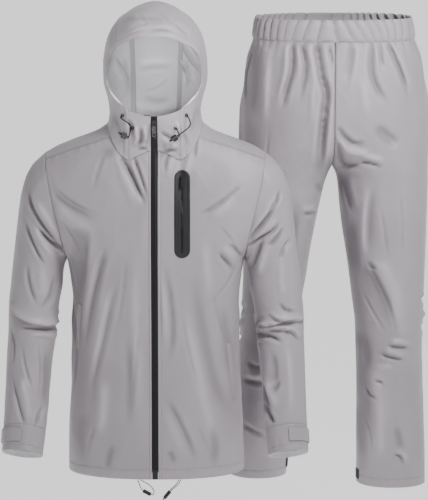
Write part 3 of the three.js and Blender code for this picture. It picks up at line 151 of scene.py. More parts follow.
def cloth_material(name, dark, light, roughness, sheen, crinkle):
    """Thin plain-woven nylon: colour that drifts, painted shade in the troughs of folds and along seams,
    painted light on fold ridges, weave and fine crinkle.
    """
    m, tree, shader = new_material(name)
    links = tree.links
    place = tree.nodes.new("ShaderNodeTexCoord")
    drift = noise_node(tree, place, Scale=7.0, Detail=3.0, Roughness=0.5)
    colour = mixed(tree, drift.outputs["Fac"], dark, light)
    # Painted shade and light: the colour is darkened in fold troughs and along seams and lightened on fold
    # ridges, from a per-point value each cloth piece stores
    painted_shading = node(tree, "ShaderNodeAttribute", attribute_name="painted_shading")
    shade = tree.nodes.new("ShaderNodeMapRange")
    set_inputs(shade, {"From Min": -1, "From Max": 1, "To Min": 0.66, "To Max": 1.1})
    links.new(painted_shading.outputs["Fac"], shade.inputs["Value"])
    colour_with_painted_shading = tree.nodes.new("ShaderNodeVectorMath")
    colour_with_painted_shading.operation = "SCALE"
    links.new(colour, colour_with_painted_shading.inputs[0])
    links.new(shade.outputs[0], colour_with_painted_shading.inputs["Scale"])
    links.new(colour_with_painted_shading.outputs[0], shader.inputs["Base Color"])
    # The weave follows the cut of each piece, whose map is in metres
    warp = wave_node(tree, 620.0, 0.4, "X")
    weft = wave_node(tree, 560.0, 0.4, "Y")
    for wave in (warp, weft):
        wave.inputs["Detail"].default_value = 1.0
        links.new(place.outputs["UV"], wave.inputs["Vector"])
    weave = math_node(tree, "MULTIPLY", warp.outputs["Fac"], weft.outputs["Fac"])
    fine = noise_node(tree, place, Scale=34.0, Detail=4.0, Roughness=0.5, Distortion=0.8)
    shift = noise_node(tree, place, Scale=6.0, Detail=2.0)
    shifted = mixed(tree, 0.12, (0, 0, 0, 1), shift.outputs["Color"])
    spot = tree.nodes.new("ShaderNodeVectorMath")
    links.new(place.outputs["Object"], spot.inputs[0])
    links.new(shifted, spot.inputs[1])
    facets = node(tree, "ShaderNodeTexVoronoi", Scale=13.0, Randomness=1.0)
    links.new(spot.outputs[0], facets.inputs["Vector"])
    folds = bump(tree, facets.outputs["Distance"], 0.3, 0.012)
    first = bump(tree, fine.outputs["Fac"], crinkle, 0.0026, folds)
    last = bump(tree, weave, 0.18, 0.00012, first)
    links.new(last.outputs[0], shader.inputs["Normal"])
    gloss = math_node(tree, "MULTIPLY_ADD", fine.outputs["Fac"], 0.16)
    gloss.node.inputs[2].default_value = roughness - 0.08
    links.new(gloss, shader.inputs["Roughness"])
    set_inputs(shader, {"Specular IOR Level": 0.42, "Sheen Weight": sheen, "Sheen Roughness": 0.4})
    return m


def hard_material(name, colour, roughness, grain_scale, grain):
    m, tree, shader = new_material(name)
    place = tree.nodes.new("ShaderNodeTexCoord")
    grains = noise_node(tree, place, Scale=grain_scale, Detail=4.0)
    lighter = tuple(min(1.0, c * 1.7) for c in colour[:3]) + (1,)
    tree.links.new(mixed(tree, grains.outputs["Fac"], colour, lighter), shader.inputs["Base Color"])
    b = bump(tree, grains.outputs["Fac"], grain, 0.0003)
    tree.links.new(b.outputs[0], shader.inputs["Normal"])
    set_inputs(shader, {"Roughness": roughness, "Specular IOR Level": 0.3})
    return m


def woven_material(name, colour, lighter, across, along, roughness):
    """Woven tape or braid: two sets of slanted threads."""
    m, tree, shader = new_material(name)
    links = tree.links
    place = tree.nodes.new("ShaderNodeTexCoord")
    one = wave_node(tree, across, 0.3, "DIAGONAL")
    two = wave_node(tree, along, 0.3, "Z")
    for wave in (one, two):
        links.new(place.outputs["Object"], wave.inputs["Vector"])
    weave = math_node(tree, "MULTIPLY", one.outputs["Fac"], two.outputs["Fac"])
    dust = noise_node(tree, place, Scale=90.0, Detail=4.0)
    colours = mixed(tree, weave, colour, lighter)
    colours = mixed(tree, math_node(tree, "MULTIPLY", dust.outputs["Fac"], 0.25), colours, lighter)
    links.new(colours, shader.inputs["Base Color"])
    b = bump(tree, weave, 0.35, 0.0003)
    links.new(b.outputs[0], shader.inputs["Normal"])
    set_inputs(shader, {"Roughness": roughness, "Specular IOR Level": 0.2})
    return m


CLOTH = cloth_material("grey_nylon", (0.335, 0.306, 0.334, 1), (0.395, 0.362, 0.392, 1), 0.5, 0.12, 0.42)
LINING = cloth_material("coated_inside", (0.80, 0.78, 0.81, 1), (0.88, 0.86, 0.89, 1), 0.45, 0.05, 0.6)
SEAM_TAPE = cloth_material("seam_tape", (0.46, 0.45, 0.465, 1), (0.58, 0.57, 0.585, 1), 0.3, 0.0, 0.6)
THREAD = hard_material("thread", (0.30, 0.28, 0.30, 1), 0.6, 900.0, 0.3)
TAPE = woven_material("black_tape", (0.005, 0.005, 0.006, 1), (0.022, 0.022, 0.026, 1), 420.0, 500.0, 0.55)
FILM = hard_material("black_film", (0.012, 0.012, 0.014, 1), 0.55, 350.0, 0.25)
COIL = hard_material("black_coil", (0.010, 0.010, 0.012, 1), 0.4, 500.0, 0.1)
PLASTIC = hard_material("black_plastic", (0.010, 0.010, 0.012, 1), 0.38, 420.0, 0.2)
BRAID = woven_material("black_braid", (0.004, 0.004, 0.005, 1), (0.02, 0.02, 0.023, 1), 700.0, 900.0, 0.7)


# ---------------------------------------------------------------- cords
# Radius, and the points of the centre line, in millimetres
CORDS = {
    "hood_cord_right": (1.2, [
        (-67, -89.2, 33), (-70, -93.2, 29.7), (-50, -110, 14), (-52.8, -117, -8.8), (-56.4, -117, -7),
        (-61.3, -117, -4.6), (-66.2, -117, -2.1), (-73.2, -117, -0.4), (-67.6, -117, -5),
        (-62.7, -117, -7.4), (-57.8, -117, -9.9), (-54.2, -117, -11.7), (-47.4, -106.5, 7.3),
        (-45.5, -99.8, 7.8)]),
    "hood_cord_left": (1.2, [
        (68.2, -88.4, 34), (71.2, -92.3, 30.7), (75, -110, 14), (50.9, -118, -5.3), (47.4, -118, -7.3),
        (42.7, -118, -10.1), (37.9, -118, -12.9), (32.7, -118, -17.8), (39.6, -118, -15.7),
        (44.3, -118, -12.9), (49.1, -118, -10.1), (52.5, -118, -8.1), (47.4, -106.5, 7.3),
        (45.5, -99.8, 7.8)]),
    "hem_cord_right": (0.9, [
        (-37, -121, -738.8), (-34, -121, -747), (-29.5, -121, -758), (-25, -121, -762.5),
        (-17.6, -121, -766.5), (-10.2, -121, -770.5), (-4.5, -121, -771), (-2.5, -121, -764),
        (-9, -121, -753), (-22, -121, -744), (-31, -121, -738.8)]),
    "hem_cord_left": (0.9, [
        (50.6, -120.5, -738.8), (45, -121, -748), (32.6, -121, -760), (30.1, -121, -763.1),
        (24.5, -121, -770.2), (18.9, -121, -777.2), (16.8, -121, -782), (20.9, -121, -778.9),
        (26.5, -121, -771.8), (32.1, -121, -764.8), (34.6, -121, -761.6), (49.5, -121, -748),
        (55, -120, -738.8)]),
}


def centripetal(points, count):
    """The same smooth curve through the points as in the part's source."""
    p = [np.array(q, float) for q in points]
    p = [2 * p[0] - p[1]] + p + [2 * p[-1] - p[-2]]
    out = []
    total = len(points) - 1
    for k in range(count + 1):
        place = total * k / count
        i = min(int(place), total - 1)
        w = place - i
        a, b, c, d = p[i:i + 4]
        ta = max(np.sqrt(np.linalg.norm(b - a)), 1e-4)
        tb = max(np.sqrt(np.linalg.norm(c - b)), 1e-4)
        tc = max(np.sqrt(np.linalg.norm(d - c)), 1e-4)
        m0 = ((b - a) / ta - (c - a) / (ta + tb) + (c - b) / tb) * tb
        m1 = ((c - b) / tb - (d - b) / (tb + tc) + (d - c) / tc) * tb
        out.append(b + m0 * w + (3 * (c - b) - 2 * m0 - m1) * w * w + (2 * (b - c) + m0 + m1) * w ** 3)
    return np.array(out)


def tube(name, line, radius, material):
    """A round cord along a line in metres."""
    data = bpy.data.curves.new(name, "CURVE")
    data.dimensions = "3D"
    spline = data.splines.new("POLY")
    spline.points.add(len(line) - 1)
    for q, at in zip(spline.points, line):
        q.co = (*at, 1)
    data.bevel_depth = radius * MM
    data.use_fill_caps = True
    data.materials.append(material)
    o = bpy.data.objects.new(name, data)
    bpy.context.collection.objects.link(o)
    return o


for cord_name, (radius, points) in CORDS.items():
    line = centripetal(points, CORD_STEPS) * MM
    cord = tube("braid_" + cord_name, line, radius, BRAID)
    cord.data.bevel_resolution = 3
    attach(cord, BODY_NAME)
    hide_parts(cord_name)


# ---------------------------------------------------------------- the part's own forms
class Table:
    """A smooth value for each column between its rows, with no overshoot."""

    def __init__(self, names, rows):
        rows = sorted(rows)
        keys = np.array([r[0] for r in rows], float)
        for c, name in enumerate(names[1:], 1):
            setattr(self, name, self.curve(keys, np.array([r[c] for r in rows], float)))

    @staticmethod
    def curve(keys, values):
        slope = np.diff(values) / np.diff(keys)
        tangent = np.zeros(len(keys))
        tangent[0], tangent[-1] = slope[0], slope[-1]
        before, after = slope[:-1], slope[1:]
        same = before * after > 0
        total = np.where(same, before + after, 1)
        tangent[1:-1] = np.where(same, 2 * before * after / total, 0)

        def read(key):
            k = np.clip(np.asarray(key, float), keys[0], keys[-1])
            i = np.clip(np.searchsorted(keys, k, side="left") - 1, 0, len(keys) - 2)
            width = keys[i + 1] - keys[i]
            t = (k - keys[i]) / width
            r = 1 - t
            return (values[i] * (1 + 2 * t) * r * r + tangent[i] * width * t * r * r
                    + values[i + 1] * t * t * (3 - 2 * t) + tangent[i + 1] * width * t * t * (t - 1))
        return read


ZIP_HALF = 7
TROUSER_X, TROUSER_Y, WAIST_SEAM_Z, CROTCH_Z, BACK_RISE = 387, 190, 184, -98, 6
ARMPIT_Z, ARMHOLE_TOP_Z = -280, -52
FORM = ["z", "half", "front", "back", "power"]
BODY = Table(FORM, [
    (-745, 191, 122, 118, 2.3), (-650, 190, 120, 115, 2.3), (-570, 185, 118, 112, 2.3),
    (-460, 178, 117, 108, 2.3), (-373, 178, 120, 110, 2.3), (-317, 184, 123, 112, 2.3),
    (-280, 190, 125, 114, 2.3), (-240, 223, 124, 114, 2.3), (-200, 250, 122, 113, 2.3),
    (-150, 271, 117, 111, 2.3), (-100, 275, 106, 107, 2.3), (-75, 258, 99, 102, 2.3),
    (-52, 236, 91, 98, 2.3), (-30, 191, 84, 94, 2.3), (-4, 126, 78, 89, 2.3), (10, 100, 76, 86, 2.3),
    (30, 96, 76, 85, 2.3)])
ARMHOLE = Table(["z", "x"], [(-280, 190), (-224, 200), (-181, 210), (-138, 220), (-95, 229), (-52, 236)])
ARMHOLE_ANGLES = [0, 25, 45, 65, 85, 105, 125, 145, 163, 180]
YOKE_FRONT_ANGLE, YOKE_BACK_ANGLE = 25, 65
SLEEVE = Table(["s", "outX", "outZ", "inX", "inZ", "depth", "y", "tilt"], [
    (0, 236, -52, 190, -280, 78, 0, 0), (30, 264, -80, 191.5, -283, 75, -1, 0),
    (60, 279, -108, 193, -286, 72, -2, 0), (103, 290, -150, 195, -291, 68, -3, 0),
    (159, 297, -205, 197, -298, 65, -4, 0), (216, 303, -262, 199, -310, 62, -5, 0),
    (280, 311, -325, 201, -335, 60, -6, 0), (350, 318, -393, 212, -393, 58, -5, 2),
    (395, 319, -437, 215, -440, 57, -8, 8), (450, 321, -489, 222, -494, 54, -25, 16),
    (510, 322, -543, 226, -550, 51, -48, 21), (575, 323, -601, 231, -610, 48, -73, 23),
    (630, 325, -649, 236, -658, 45, -93, 24), (668, 325.5, -681, 239.5, -690, 43, -107, 24)])
NECK = Table(["t", "x", "y", "z"], [
    (0, 7.5, -89, -39), (0.12, 32, -88, -48), (0.22, 54, -86, -60), (0.32, 75, -82, -43),
    (0.42, 89, -68, -18), (0.5, 96.5, -42, 2), (0.58, 99, -8, 11), (0.66, 96, 26, 15),
    (0.76, 80, 55, 15), (0.88, 46, 78, 9), (1, 0, 86, 6)])
COLLAR_SEAM_T, YOKE_SEAM_T, HOOD_SEAM_T = 0.22, 0.44, 0.87
NECK_FRONT = [0, 0.073, 0.147, 0.22, 0.3, 0.37, 0.44]
YOKE_SEAM = Table(["x", "z"], [(90, -13), (117, -22), (178, -42), (233, -62.7)])
HOOD = Table(FORM, [
    (-60, 97, 90, 90, 2.3), (-20, 97, 96, 88, 2.3), (13, 99.5, 101, 86, 2.3), (32, 101.5, 105, 89, 2.3),
    (55, 104, 109, 98, 2.3), (80, 107.5, 113, 110, 2.3), (106, 110, 118, 120, 2.3),
    (132, 111, 122, 126, 2.3), (157, 108.5, 125, 127, 2.3), (183, 104, 127, 123, 2.3),
    (208, 94, 122, 113, 2.3), (233, 76, 104, 92, 2.3), (252, 51, 77, 66, 2.3), (264, 25, 43, 36, 2.3),
    (269.5, 2, 5, 5, 2.3)])
HEAD_Z, BRIM_ANGLE, NAPE_ANGLE = 110, 35.3, 230
CENTRE_PANEL = Table(["angle", "half"], [
    (35, 79), (60, 80), (85, 74), (110, 64), (140, 56), (180, 52), (230, 47.5)])
FACE_EDGE = Table(["r", "x", "z"], [
    (0, 79, 175), (0.15, 93, 157), (0.3, 101, 137), (0.45, 102, 117), (0.6, 98, 97), (0.72, 89, 77),
    (0.84, 76, 60), (1, 55, 46)])
CHIN_EDGE = Table(["t", "z"], [(0, 33), (0.5, 37), (1, 46)])
HIPS = [
    (238, -173, 173, 102, 103, 2.4), (184, -179, 181, 105, 108, 2.3), (149, -187, 193, 109, 115, 2.3),
    (109, -191, 200, 113, 120, 2.3), (60, -184, 205, 116, 124, 2.3), (15, -160, 209, 116, 124, 2.3),
    (-30, -110, 211.5, 114, 121, 2.25), (-65, -48, 213, 111, 116, 2.2), (-98, 0.2, 213.5, 107, 111, 2.15)]
LEG_COLUMNS = ["z", "inner", "outer", "front", "back", "power"]
LEFT_LEG = Table(LEG_COLUMNS, HIPS + [
    (-127, 12, 214, 101, 106, 2.1), (-181, 17.5, 213.5, 95, 100, 2.1), (-235, 24, 212.5, 91, 95, 2.1),
    (-289, 33, 211.5, 87, 91, 2.1), (-344, 41, 210, 83, 87, 2.1), (-398, 48, 208, 80, 84, 2.1),
    (-453, 55, 206.5, 78, 82, 2.1), (-508, 57, 206.5, 77, 81, 2.1), (-563, 59, 207.5, 76, 80, 2.1),
    (-640, 60, 211, 75, 79, 2.1), (-702, 60, 214, 75, 78, 2.1), (-758, 61, 216, 75, 77, 2.1),
    (-824, 61, 217, 75, 76, 2.2)])
RIGHT_LEG = Table(LEG_COLUMNS, HIPS + [
    (-127, 13, 200, 101, 106, 2.1), (-181, 26, 199, 94, 100, 2.1), (-235, 37, 198, 89, 95, 2.1),
    (-289, 47, 197, 84, 91, 2.1), (-344, 55, 197, 80, 87, 2.1), (-398, 64, 199, 77, 84, 2.1),
    (-453, 69, 201, 75, 82, 2.1), (-508, 73, 206, 74, 80, 2.1), (-563, 77, 211, 73, 79, 2.1),
    (-632, 84, 217, 72, 78, 2.1), (-702, 90, 223, 72, 77, 2.1), (-758, 94, 227, 72, 76, 2.1),
    (-805, 97, 230, 72, 75, 2.1)])
RIGHT_SHARE = Table(["z", "share"], [
    (-130, 1), (-98, 0.937), (-30, 0.945), (15, 0.95), (109, 0.965), (184, 0.97), (238, 0.98)])
LEFT_SET = Table(["z", "y"], [(-820, -4), (-98, 0), (234, 0)])
RIGHT_SET = Table(["z", "y"], [(-820, 18), (-98, 0), (234, 0)])
RIGHT_LEG_SHARE = 0.979
BAND_ROWS = Table(["z", "out"], [(184.2, 0), (195, 1.2), (217, 0.6), (231, -2.5)])
BODY_LEVELS = [-738, -716, -676, -632, -588, -544, -500, -456, -412, -370, -330, -302]
FRONT_ANGLES = [a for a in ARMHOLE_ANGLES if a >= YOKE_FRONT_ANGLE][::-1]
BACK_ANGLES = [a for a in ARMHOLE_ANGLES if a >= YOKE_BACK_ANGLE][::-1]
NECK_COLUMNS, SEAM_COLUMNS, NECK_SHARE, BACK_HALF = 6, 6, 0.42, 6
FRONT_COLUMNS = NECK_COLUMNS + SEAM_COLUMNS
FRONT_ROWS = len(BODY_LEVELS) + len(FRONT_ANGLES) - 1
BACK_ROWS = len(BODY_LEVELS) + len(BACK_ANGLES) - 1


def pt(x, y, z):
    return np.stack(np.broadcast_arrays(np.asarray(x, float), y, z), axis=-1)


def mix(a, b, t):
    return a + (b - a) * t


def smooth(x, low, high):
    t = np.clip((np.asarray(x, float) - low) / (high - low), 0, 1)
    return t * t * (3 - 2 * t)


def power_of(x, power):
    return np.sign(x) * np.abs(x) ** power


def share(across, power):
    return (1 - np.minimum(np.abs(across), 1) ** power) ** (1 / power)


def ring_point(form, z, angle):
    power = 2 / form.power(z)
    s, c = np.sin(np.radians(angle)), np.cos(np.radians(angle))
    depth = np.where(c > 0, form.front(z), form.back(z))
    return pt(form.half(z) * power_of(s, power), -depth * power_of(c, power), z)


def ring_angle(form, x, z):
    return np.degrees(np.arcsin(np.minimum(np.abs(x) / form.half(z), 1) ** (form.power(z) / 2)))


def front_point(form, x, z):
    return pt(x, -form.front(z) * share(x / form.half(z), form.power(z)), z)


def back_point(form, x, z):
    return pt(x, form.back(z) * share(x / form.half(z), form.power(z)), z)


def cut_point(form, x, middle, angle):
    c, s = math.cos(math.radians(angle)), math.sin(math.radians(angle))
    near, far = 0.0, 400.0
    for _ in range(40):
        reach = (near + far) / 2
        z = middle + reach * s
        depth = form.front(z) if c > 0 else form.back(z)
        power = form.power(z)
        across = abs(x / form.half(z)) ** power + abs(reach * c / depth) ** power
        if across < 1 and z < 269.5:
            near = reach
        else:
            far = reach
    return pt(x, -near * c, middle + near * s)


def armhole_point(side, angle):
    middle = (ARMHOLE_TOP_Z + ARMPIT_Z) / 2
    z = middle + (ARMHOLE_TOP_Z - ARMPIT_Z) / 2 * np.cos(np.radians(angle))
    x = ARMHOLE.x(z)
    p = np.where(np.asarray(angle)[..., None] >= 0, front_point(BODY, x, z), back_point(BODY, x, z))
    return p * [side, 1, 1]


def neck_point(side, t):
    return pt(side * NECK.x(t), NECK.y(t), NECK.z(t))


def coons(bottom, top, left, right, u, v):
    return (bottom(u) * (1 - v) + top(u) * v + left(v) * (1 - u) + right(v) * u
            - bottom(0) * (1 - u) * (1 - v) - bottom(1) * u * (1 - v)
            - top(0) * (1 - u) * v - top(1) * u * v)


def front_column(j):
    if j <= NECK_COLUMNS:
        return NECK_SHARE * j / NECK_COLUMNS
    return mix(NECK_SHARE, 1, (j - NECK_COLUMNS) / SEAM_COLUMNS)


def front_top(side, j):
    if j <= NECK_COLUMNS:
        return neck_point(side, NECK_FRONT[j])
    if j == FRONT_COLUMNS:
        return armhole_point(side, YOKE_FRONT_ANGLE)
    outward = (j - NECK_COLUMNS) / SEAM_COLUMNS
    x = mix(float(NECK.x(YOKE_SEAM_T)), armhole_point(1, YOKE_FRONT_ANGLE)[0], outward)
    p = front_point(BODY, x, YOKE_SEAM.z(x))
    start = neck_point(1, YOKE_SEAM_T)
    p[1] += (start[1] - front_point(BODY, start[0], start[2])[1]) * (1 - outward) ** 3
    return p * [side, 1, 1]


def front_level(side, j, z):
    start = ring_angle(BODY, ZIP_HALF, z)
    return ring_point(BODY, z, mix(start, 90, front_column(j))) * [side, 1, 1]


def front_panel_point(side, i, j):
    levels = len(BODY_LEVELS)
    if i < levels:
        return front_level(side, j, BODY_LEVELS[i])
    angle = FRONT_ANGLES[i - levels]
    if i == FRONT_ROWS:
        return front_top(side, j)
    if j == FRONT_COLUMNS:
        return armhole_point(side, angle)
    upward = (i - levels) / (len(FRONT_ANGLES) - 1)
    top, bottom = front_top(1, j), front_level(1, j, ARMPIT_Z)
    hole, last = armhole_point(1, angle), armhole_point(1, YOKE_FRONT_ANGLE)
    outward = front_column(j)
    x = (mix(bottom[0], top[0], upward)
         + outward * (hole[0] - mix(float(ARMHOLE.x(ARMPIT_Z)), last[0], upward)))
    z = mix(ARMPIT_Z, top[2], upward) + outward * (hole[2] - mix(ARMPIT_Z, last[2], upward))
    p = front_point(BODY, x, z)
    p[1] += (top[1] - front_point(BODY, top[0], top[2])[1]) * upward ** 4
    return p * [side, 1, 1]


def back_panel_point(i, j):
    levels = len(BODY_LEVELS)
    across = j / BACK_HALF - 1
    if i < levels:
        return ring_point(BODY, BODY_LEVELS[i], 180 - 90 * across)
    angle = BACK_ANGLES[i - levels]
    if abs(across) == 1:
        return armhole_point(across, -angle)
    upward = (i - levels) / (len(BACK_ANGLES) - 1)
    corner, hole = armhole_point(1, -YOKE_BACK_ANGLE), armhole_point(1, -angle)
    bottom = ring_point(BODY, ARMPIT_Z, 180 - 90 * across)
    outward = abs(across)
    line_x = mix(float(ARMHOLE.x(ARMPIT_Z)), corner[0], upward)
    line_z = mix(ARMPIT_Z, corner[2], upward)
    x = mix(abs(bottom[0]), corner[0] * outward, upward) + outward ** 2 * (hole[0] - line_x)
    return back_point(BODY, np.sign(across) * x, line_z + outward ** 2 * (hole[2] - line_z))


YOKE_SIDE_LINES = [(0.44, 25), (0.51, 0), (0.58, -25), (0.65, -45), (0.72, -65)]
YOKE_BACK_LINES = [(0.8, 4.5), (0.87, 3), (0.935, 1.5), (1, 0)]
YOKE_HALF = len(YOKE_SIDE_LINES) + len(YOKE_BACK_LINES) - 1
SHOULDER_MIDDLE_Z = -170


def shoulder_angle(p):
    return math.degrees(math.atan2(p[2] - SHOULDER_MIDDLE_Z, -p[1]))


def yoke_point(line, j):
    side = -1 if line <= YOKE_HALF else 1
    k = line if line <= YOKE_HALF else 2 * YOKE_HALF - line
    if k < len(YOKE_SIDE_LINES):
        t, angle = YOKE_SIDE_LINES[k]
        inner, outer = neck_point(side, t), armhole_point(side, angle)
    else:
        t, column = YOKE_BACK_LINES[k - len(YOKE_SIDE_LINES)]
        corner = armhole_point(1, -YOKE_BACK_ANGLE)
        inner, outer = neck_point(side, t), back_point(BODY, side * corner[0] * column / BACK_HALF, corner[2])
    if k == 0:
        return front_top(side, NECK_COLUMNS + j)
    if j == 0:
        return inner
    if j == SEAM_COLUMNS:
        return outer
    outward = j / SEAM_COLUMNS
    angle = mix(shoulder_angle(inner), shoulder_angle(outer), outward)
    p = cut_point(BODY, mix(inner[0], outer[0], outward), SHOULDER_MIDDLE_Z, angle)
    on_form = cut_point(BODY, inner[0], SHOULDER_MIDDLE_Z, shoulder_angle(inner))
    return p + (inner - on_form) * (1 - outward) ** 3


def sleeve_ring(s, angle):
    outer, inner = pt(SLEEVE.outX(s), 0, SLEEVE.outZ(s)), pt(SLEEVE.inX(s), 0, SLEEVE.inZ(s))
    tilt = np.radians(SLEEVE.tilt(s))
    p = (outer + inner) / 2 + (outer - inner) * (np.cos(np.radians(angle)) / 2)[..., None]
    forward = SLEEVE.depth(s) * np.sin(np.radians(angle))
    return p + pt(0, SLEEVE.y(s) - forward * np.cos(tilt), forward * np.sin(tilt))


def sleeve_point(side, s, angle):
    s, angle = np.broadcast_arrays(np.asarray(s, float), np.asarray(angle, float))
    p = sleeve_ring(s, angle)
    near = 1 - smooth(s, 0, 70)
    p = p + (armhole_point(1, angle) - sleeve_ring(0 * s, angle)) * near[..., None]
    return p * [side, 1, 1]


HEAD = np.array([0, 0, HEAD_Z], float)
SIDE_COLUMNS = SIDE_ROWS = 9
COLLAR_ROWS, CROWN_SHARE = 3, 0.4
SIDE_NECK = [0.22, 0.3, 0.37, 0.44, 0.51, 0.58, 0.65, 0.72, 0.8, 0.87]
NAPE_NECK = [0.87, 0.935, 1]


def centre_seam(side, u):
    angle = mix(BRIM_ANGLE, NAPE_ANGLE, u)
    p = cut_point(HOOD, side * float(CENTRE_PANEL.half(angle)), HEAD_Z, angle)
    nape = cut_point(HOOD, side * float(CENTRE_PANEL.half(NAPE_ANGLE)), HEAD_Z, NAPE_ANGLE)
    return p + (neck_point(side, HOOD_SEAM_T) - nape) * smooth(u, 0.7, 1)


def collar_seam(side, v):
    top = front_point(HOOD, float(FACE_EDGE.x(1)), float(FACE_EDGE.z(1))) * [side, 1, 1]
    p = mix(neck_point(side, COLLAR_SEAM_T), top, v)
    p[1] -= 4 * math.sin(math.pi * v)
    return p


def hood_front_edge(side, v):
    split = COLLAR_ROWS / SIDE_ROWS
    if v <= split + 1e-9:
        return collar_seam(side, v / split)
    r = (1 - v) / (1 - split)
    if r < 1e-9:
        return centre_seam(side, 0)
    return front_point(HOOD, float(FACE_EDGE.x(r)), float(FACE_EDGE.z(r))) * [side, 1, 1]


def side_neck(side, u):
    place = u * SIDE_COLUMNS
    i = min(int(place + 1e-9), SIDE_COLUMNS - 1)
    return neck_point(side, mix(SIDE_NECK[i], SIDE_NECK[i + 1], place - i))


def on_hood(p):
    way = (p - HEAD) / np.linalg.norm(p - HEAD)
    near, far = 0.0, 300.0
    for _ in range(36):
        reach = (near + far) / 2
        q = HEAD + way * reach
        depth = HOOD.front(q[2]) if q[1] < 0 else HOOD.back(q[2])
        power = HOOD.power(q[2])
        total = abs(q[0] / HOOD.half(q[2])) ** power + abs(q[1] / depth) ** power
        if total < 1 and q[2] < 269.5:
            near = reach
        else:
            far = reach
    return HEAD + way * near


def hood_side_point(side, i, j):
    u, v = j / SIDE_COLUMNS, i / SIDE_ROWS
    p = coons(lambda k: side_neck(side, k), lambda k: centre_seam(side, CROWN_SHARE * k),
              lambda k: hood_front_edge(side, k), lambda k: centre_seam(side, mix(1, CROWN_SHARE, k)), u, v)
    if i in (0, SIDE_ROWS) or j in (0, SIDE_COLUMNS):
        return p
    return mix(p, on_hood(p), smooth(v, 0, 0.35))


CENTRE_HALF = 2
CENTRE_ROWS = SIDE_COLUMNS + SIDE_ROWS


def centre_point(i, j):
    across = j / CENTRE_HALF - 1
    napeward = (i - SIDE_COLUMNS) / (CENTRE_ROWS - SIDE_COLUMNS)
    u = CROWN_SHARE * i / SIDE_COLUMNS if i <= SIDE_COLUMNS else mix(CROWN_SHARE, 1, napeward)
    if abs(across) == 1:
        return centre_seam(across, u)
    side = 1 if across >= 0 else -1
    angle = mix(BRIM_ANGLE, NAPE_ANGLE, u)
    p = cut_point(HOOD, float(CENTRE_PANEL.half(angle)) * across, HEAD_Z, angle)
    nape = cut_point(HOOD, float(CENTRE_PANEL.half(NAPE_ANGLE)) * across, HEAD_Z, NAPE_ANGLE)
    t = NAPE_NECK[len(NAPE_NECK) - 1 - round(abs(across) * CENTRE_HALF)]
    return p + (neck_point(side, t) - nape) * smooth(u, 0.7, 1)


CHIN_COLUMNS = 3


def chin_top(side, t):
    x = mix(ZIP_HALF, float(FACE_EDGE.x(1)), t)
    z = float(FACE_EDGE.z(1)) if t == 1 else float(CHIN_EDGE.z(t))
    return front_point(HOOD, x, z) * [side, 1, 1]


def zip_edge(side, v):
    p = mix(neck_point(side, 0), chin_top(side, 0), v)
    p[1] -= 3 * math.sin(math.pi * v)
    return p


def chin_point(side, i, j):
    return coons(lambda k: neck_point(side, NECK_FRONT[round(k * CHIN_COLUMNS)]), lambda k: chin_top(side, k),
                 lambda k: zip_edge(side, k), lambda k: collar_seam(side, k),
                 j / CHIN_COLUMNS, i / COLLAR_ROWS)


def waist_rise(p):
    y = p[..., 1] - TROUSER_Y
    p[..., 2] += BACK_RISE * y / 105 * smooth(p[..., 2], 60, WAIST_SEAM_Z)
    return p


def leg_point(side, z, u, back_half):
    leg = LEFT_LEG if side > 0 else RIGHT_LEG
    inner, outer = leg.inner(z), leg.outer(z)
    across = np.minimum(np.abs(-(outer + inner) / (outer - inner)), 1)
    start = np.where(inner >= 0, -90, -np.degrees(np.arcsin(across ** (leg.power(z) / 2))))
    angle = mix(start, 90, u)
    power = 2 / leg.power(z)
    x = (outer + inner) / 2 + (outer - inner) / 2 * power_of(np.sin(np.radians(angle)), power)
    depth = leg.back(z) if back_half else -leg.front(z)
    narrowing = 1 if side > 0 else RIGHT_SHARE.share(z)
    middle = LEFT_SET.y(z) if side > 0 else RIGHT_SET.y(z)
    away = depth * power_of(np.maximum(np.cos(np.radians(angle)), 0), power)
    return pt(TROUSER_X + side * narrowing * x, TROUSER_Y + middle + away, z)


# ---------------------------------------------------------------- folds
# Where a place in the photograph lies on the front of the jacket and of the trousers, in millimetres
def on_jacket(px, py):
    return ((px - 155.9) * 2.1, 33 - (py - 115) * 2.124)


def on_trousers(px, py):
    return (387 + (px - 332.5) * 2.193, 178 - (py - 42) * 2.214)


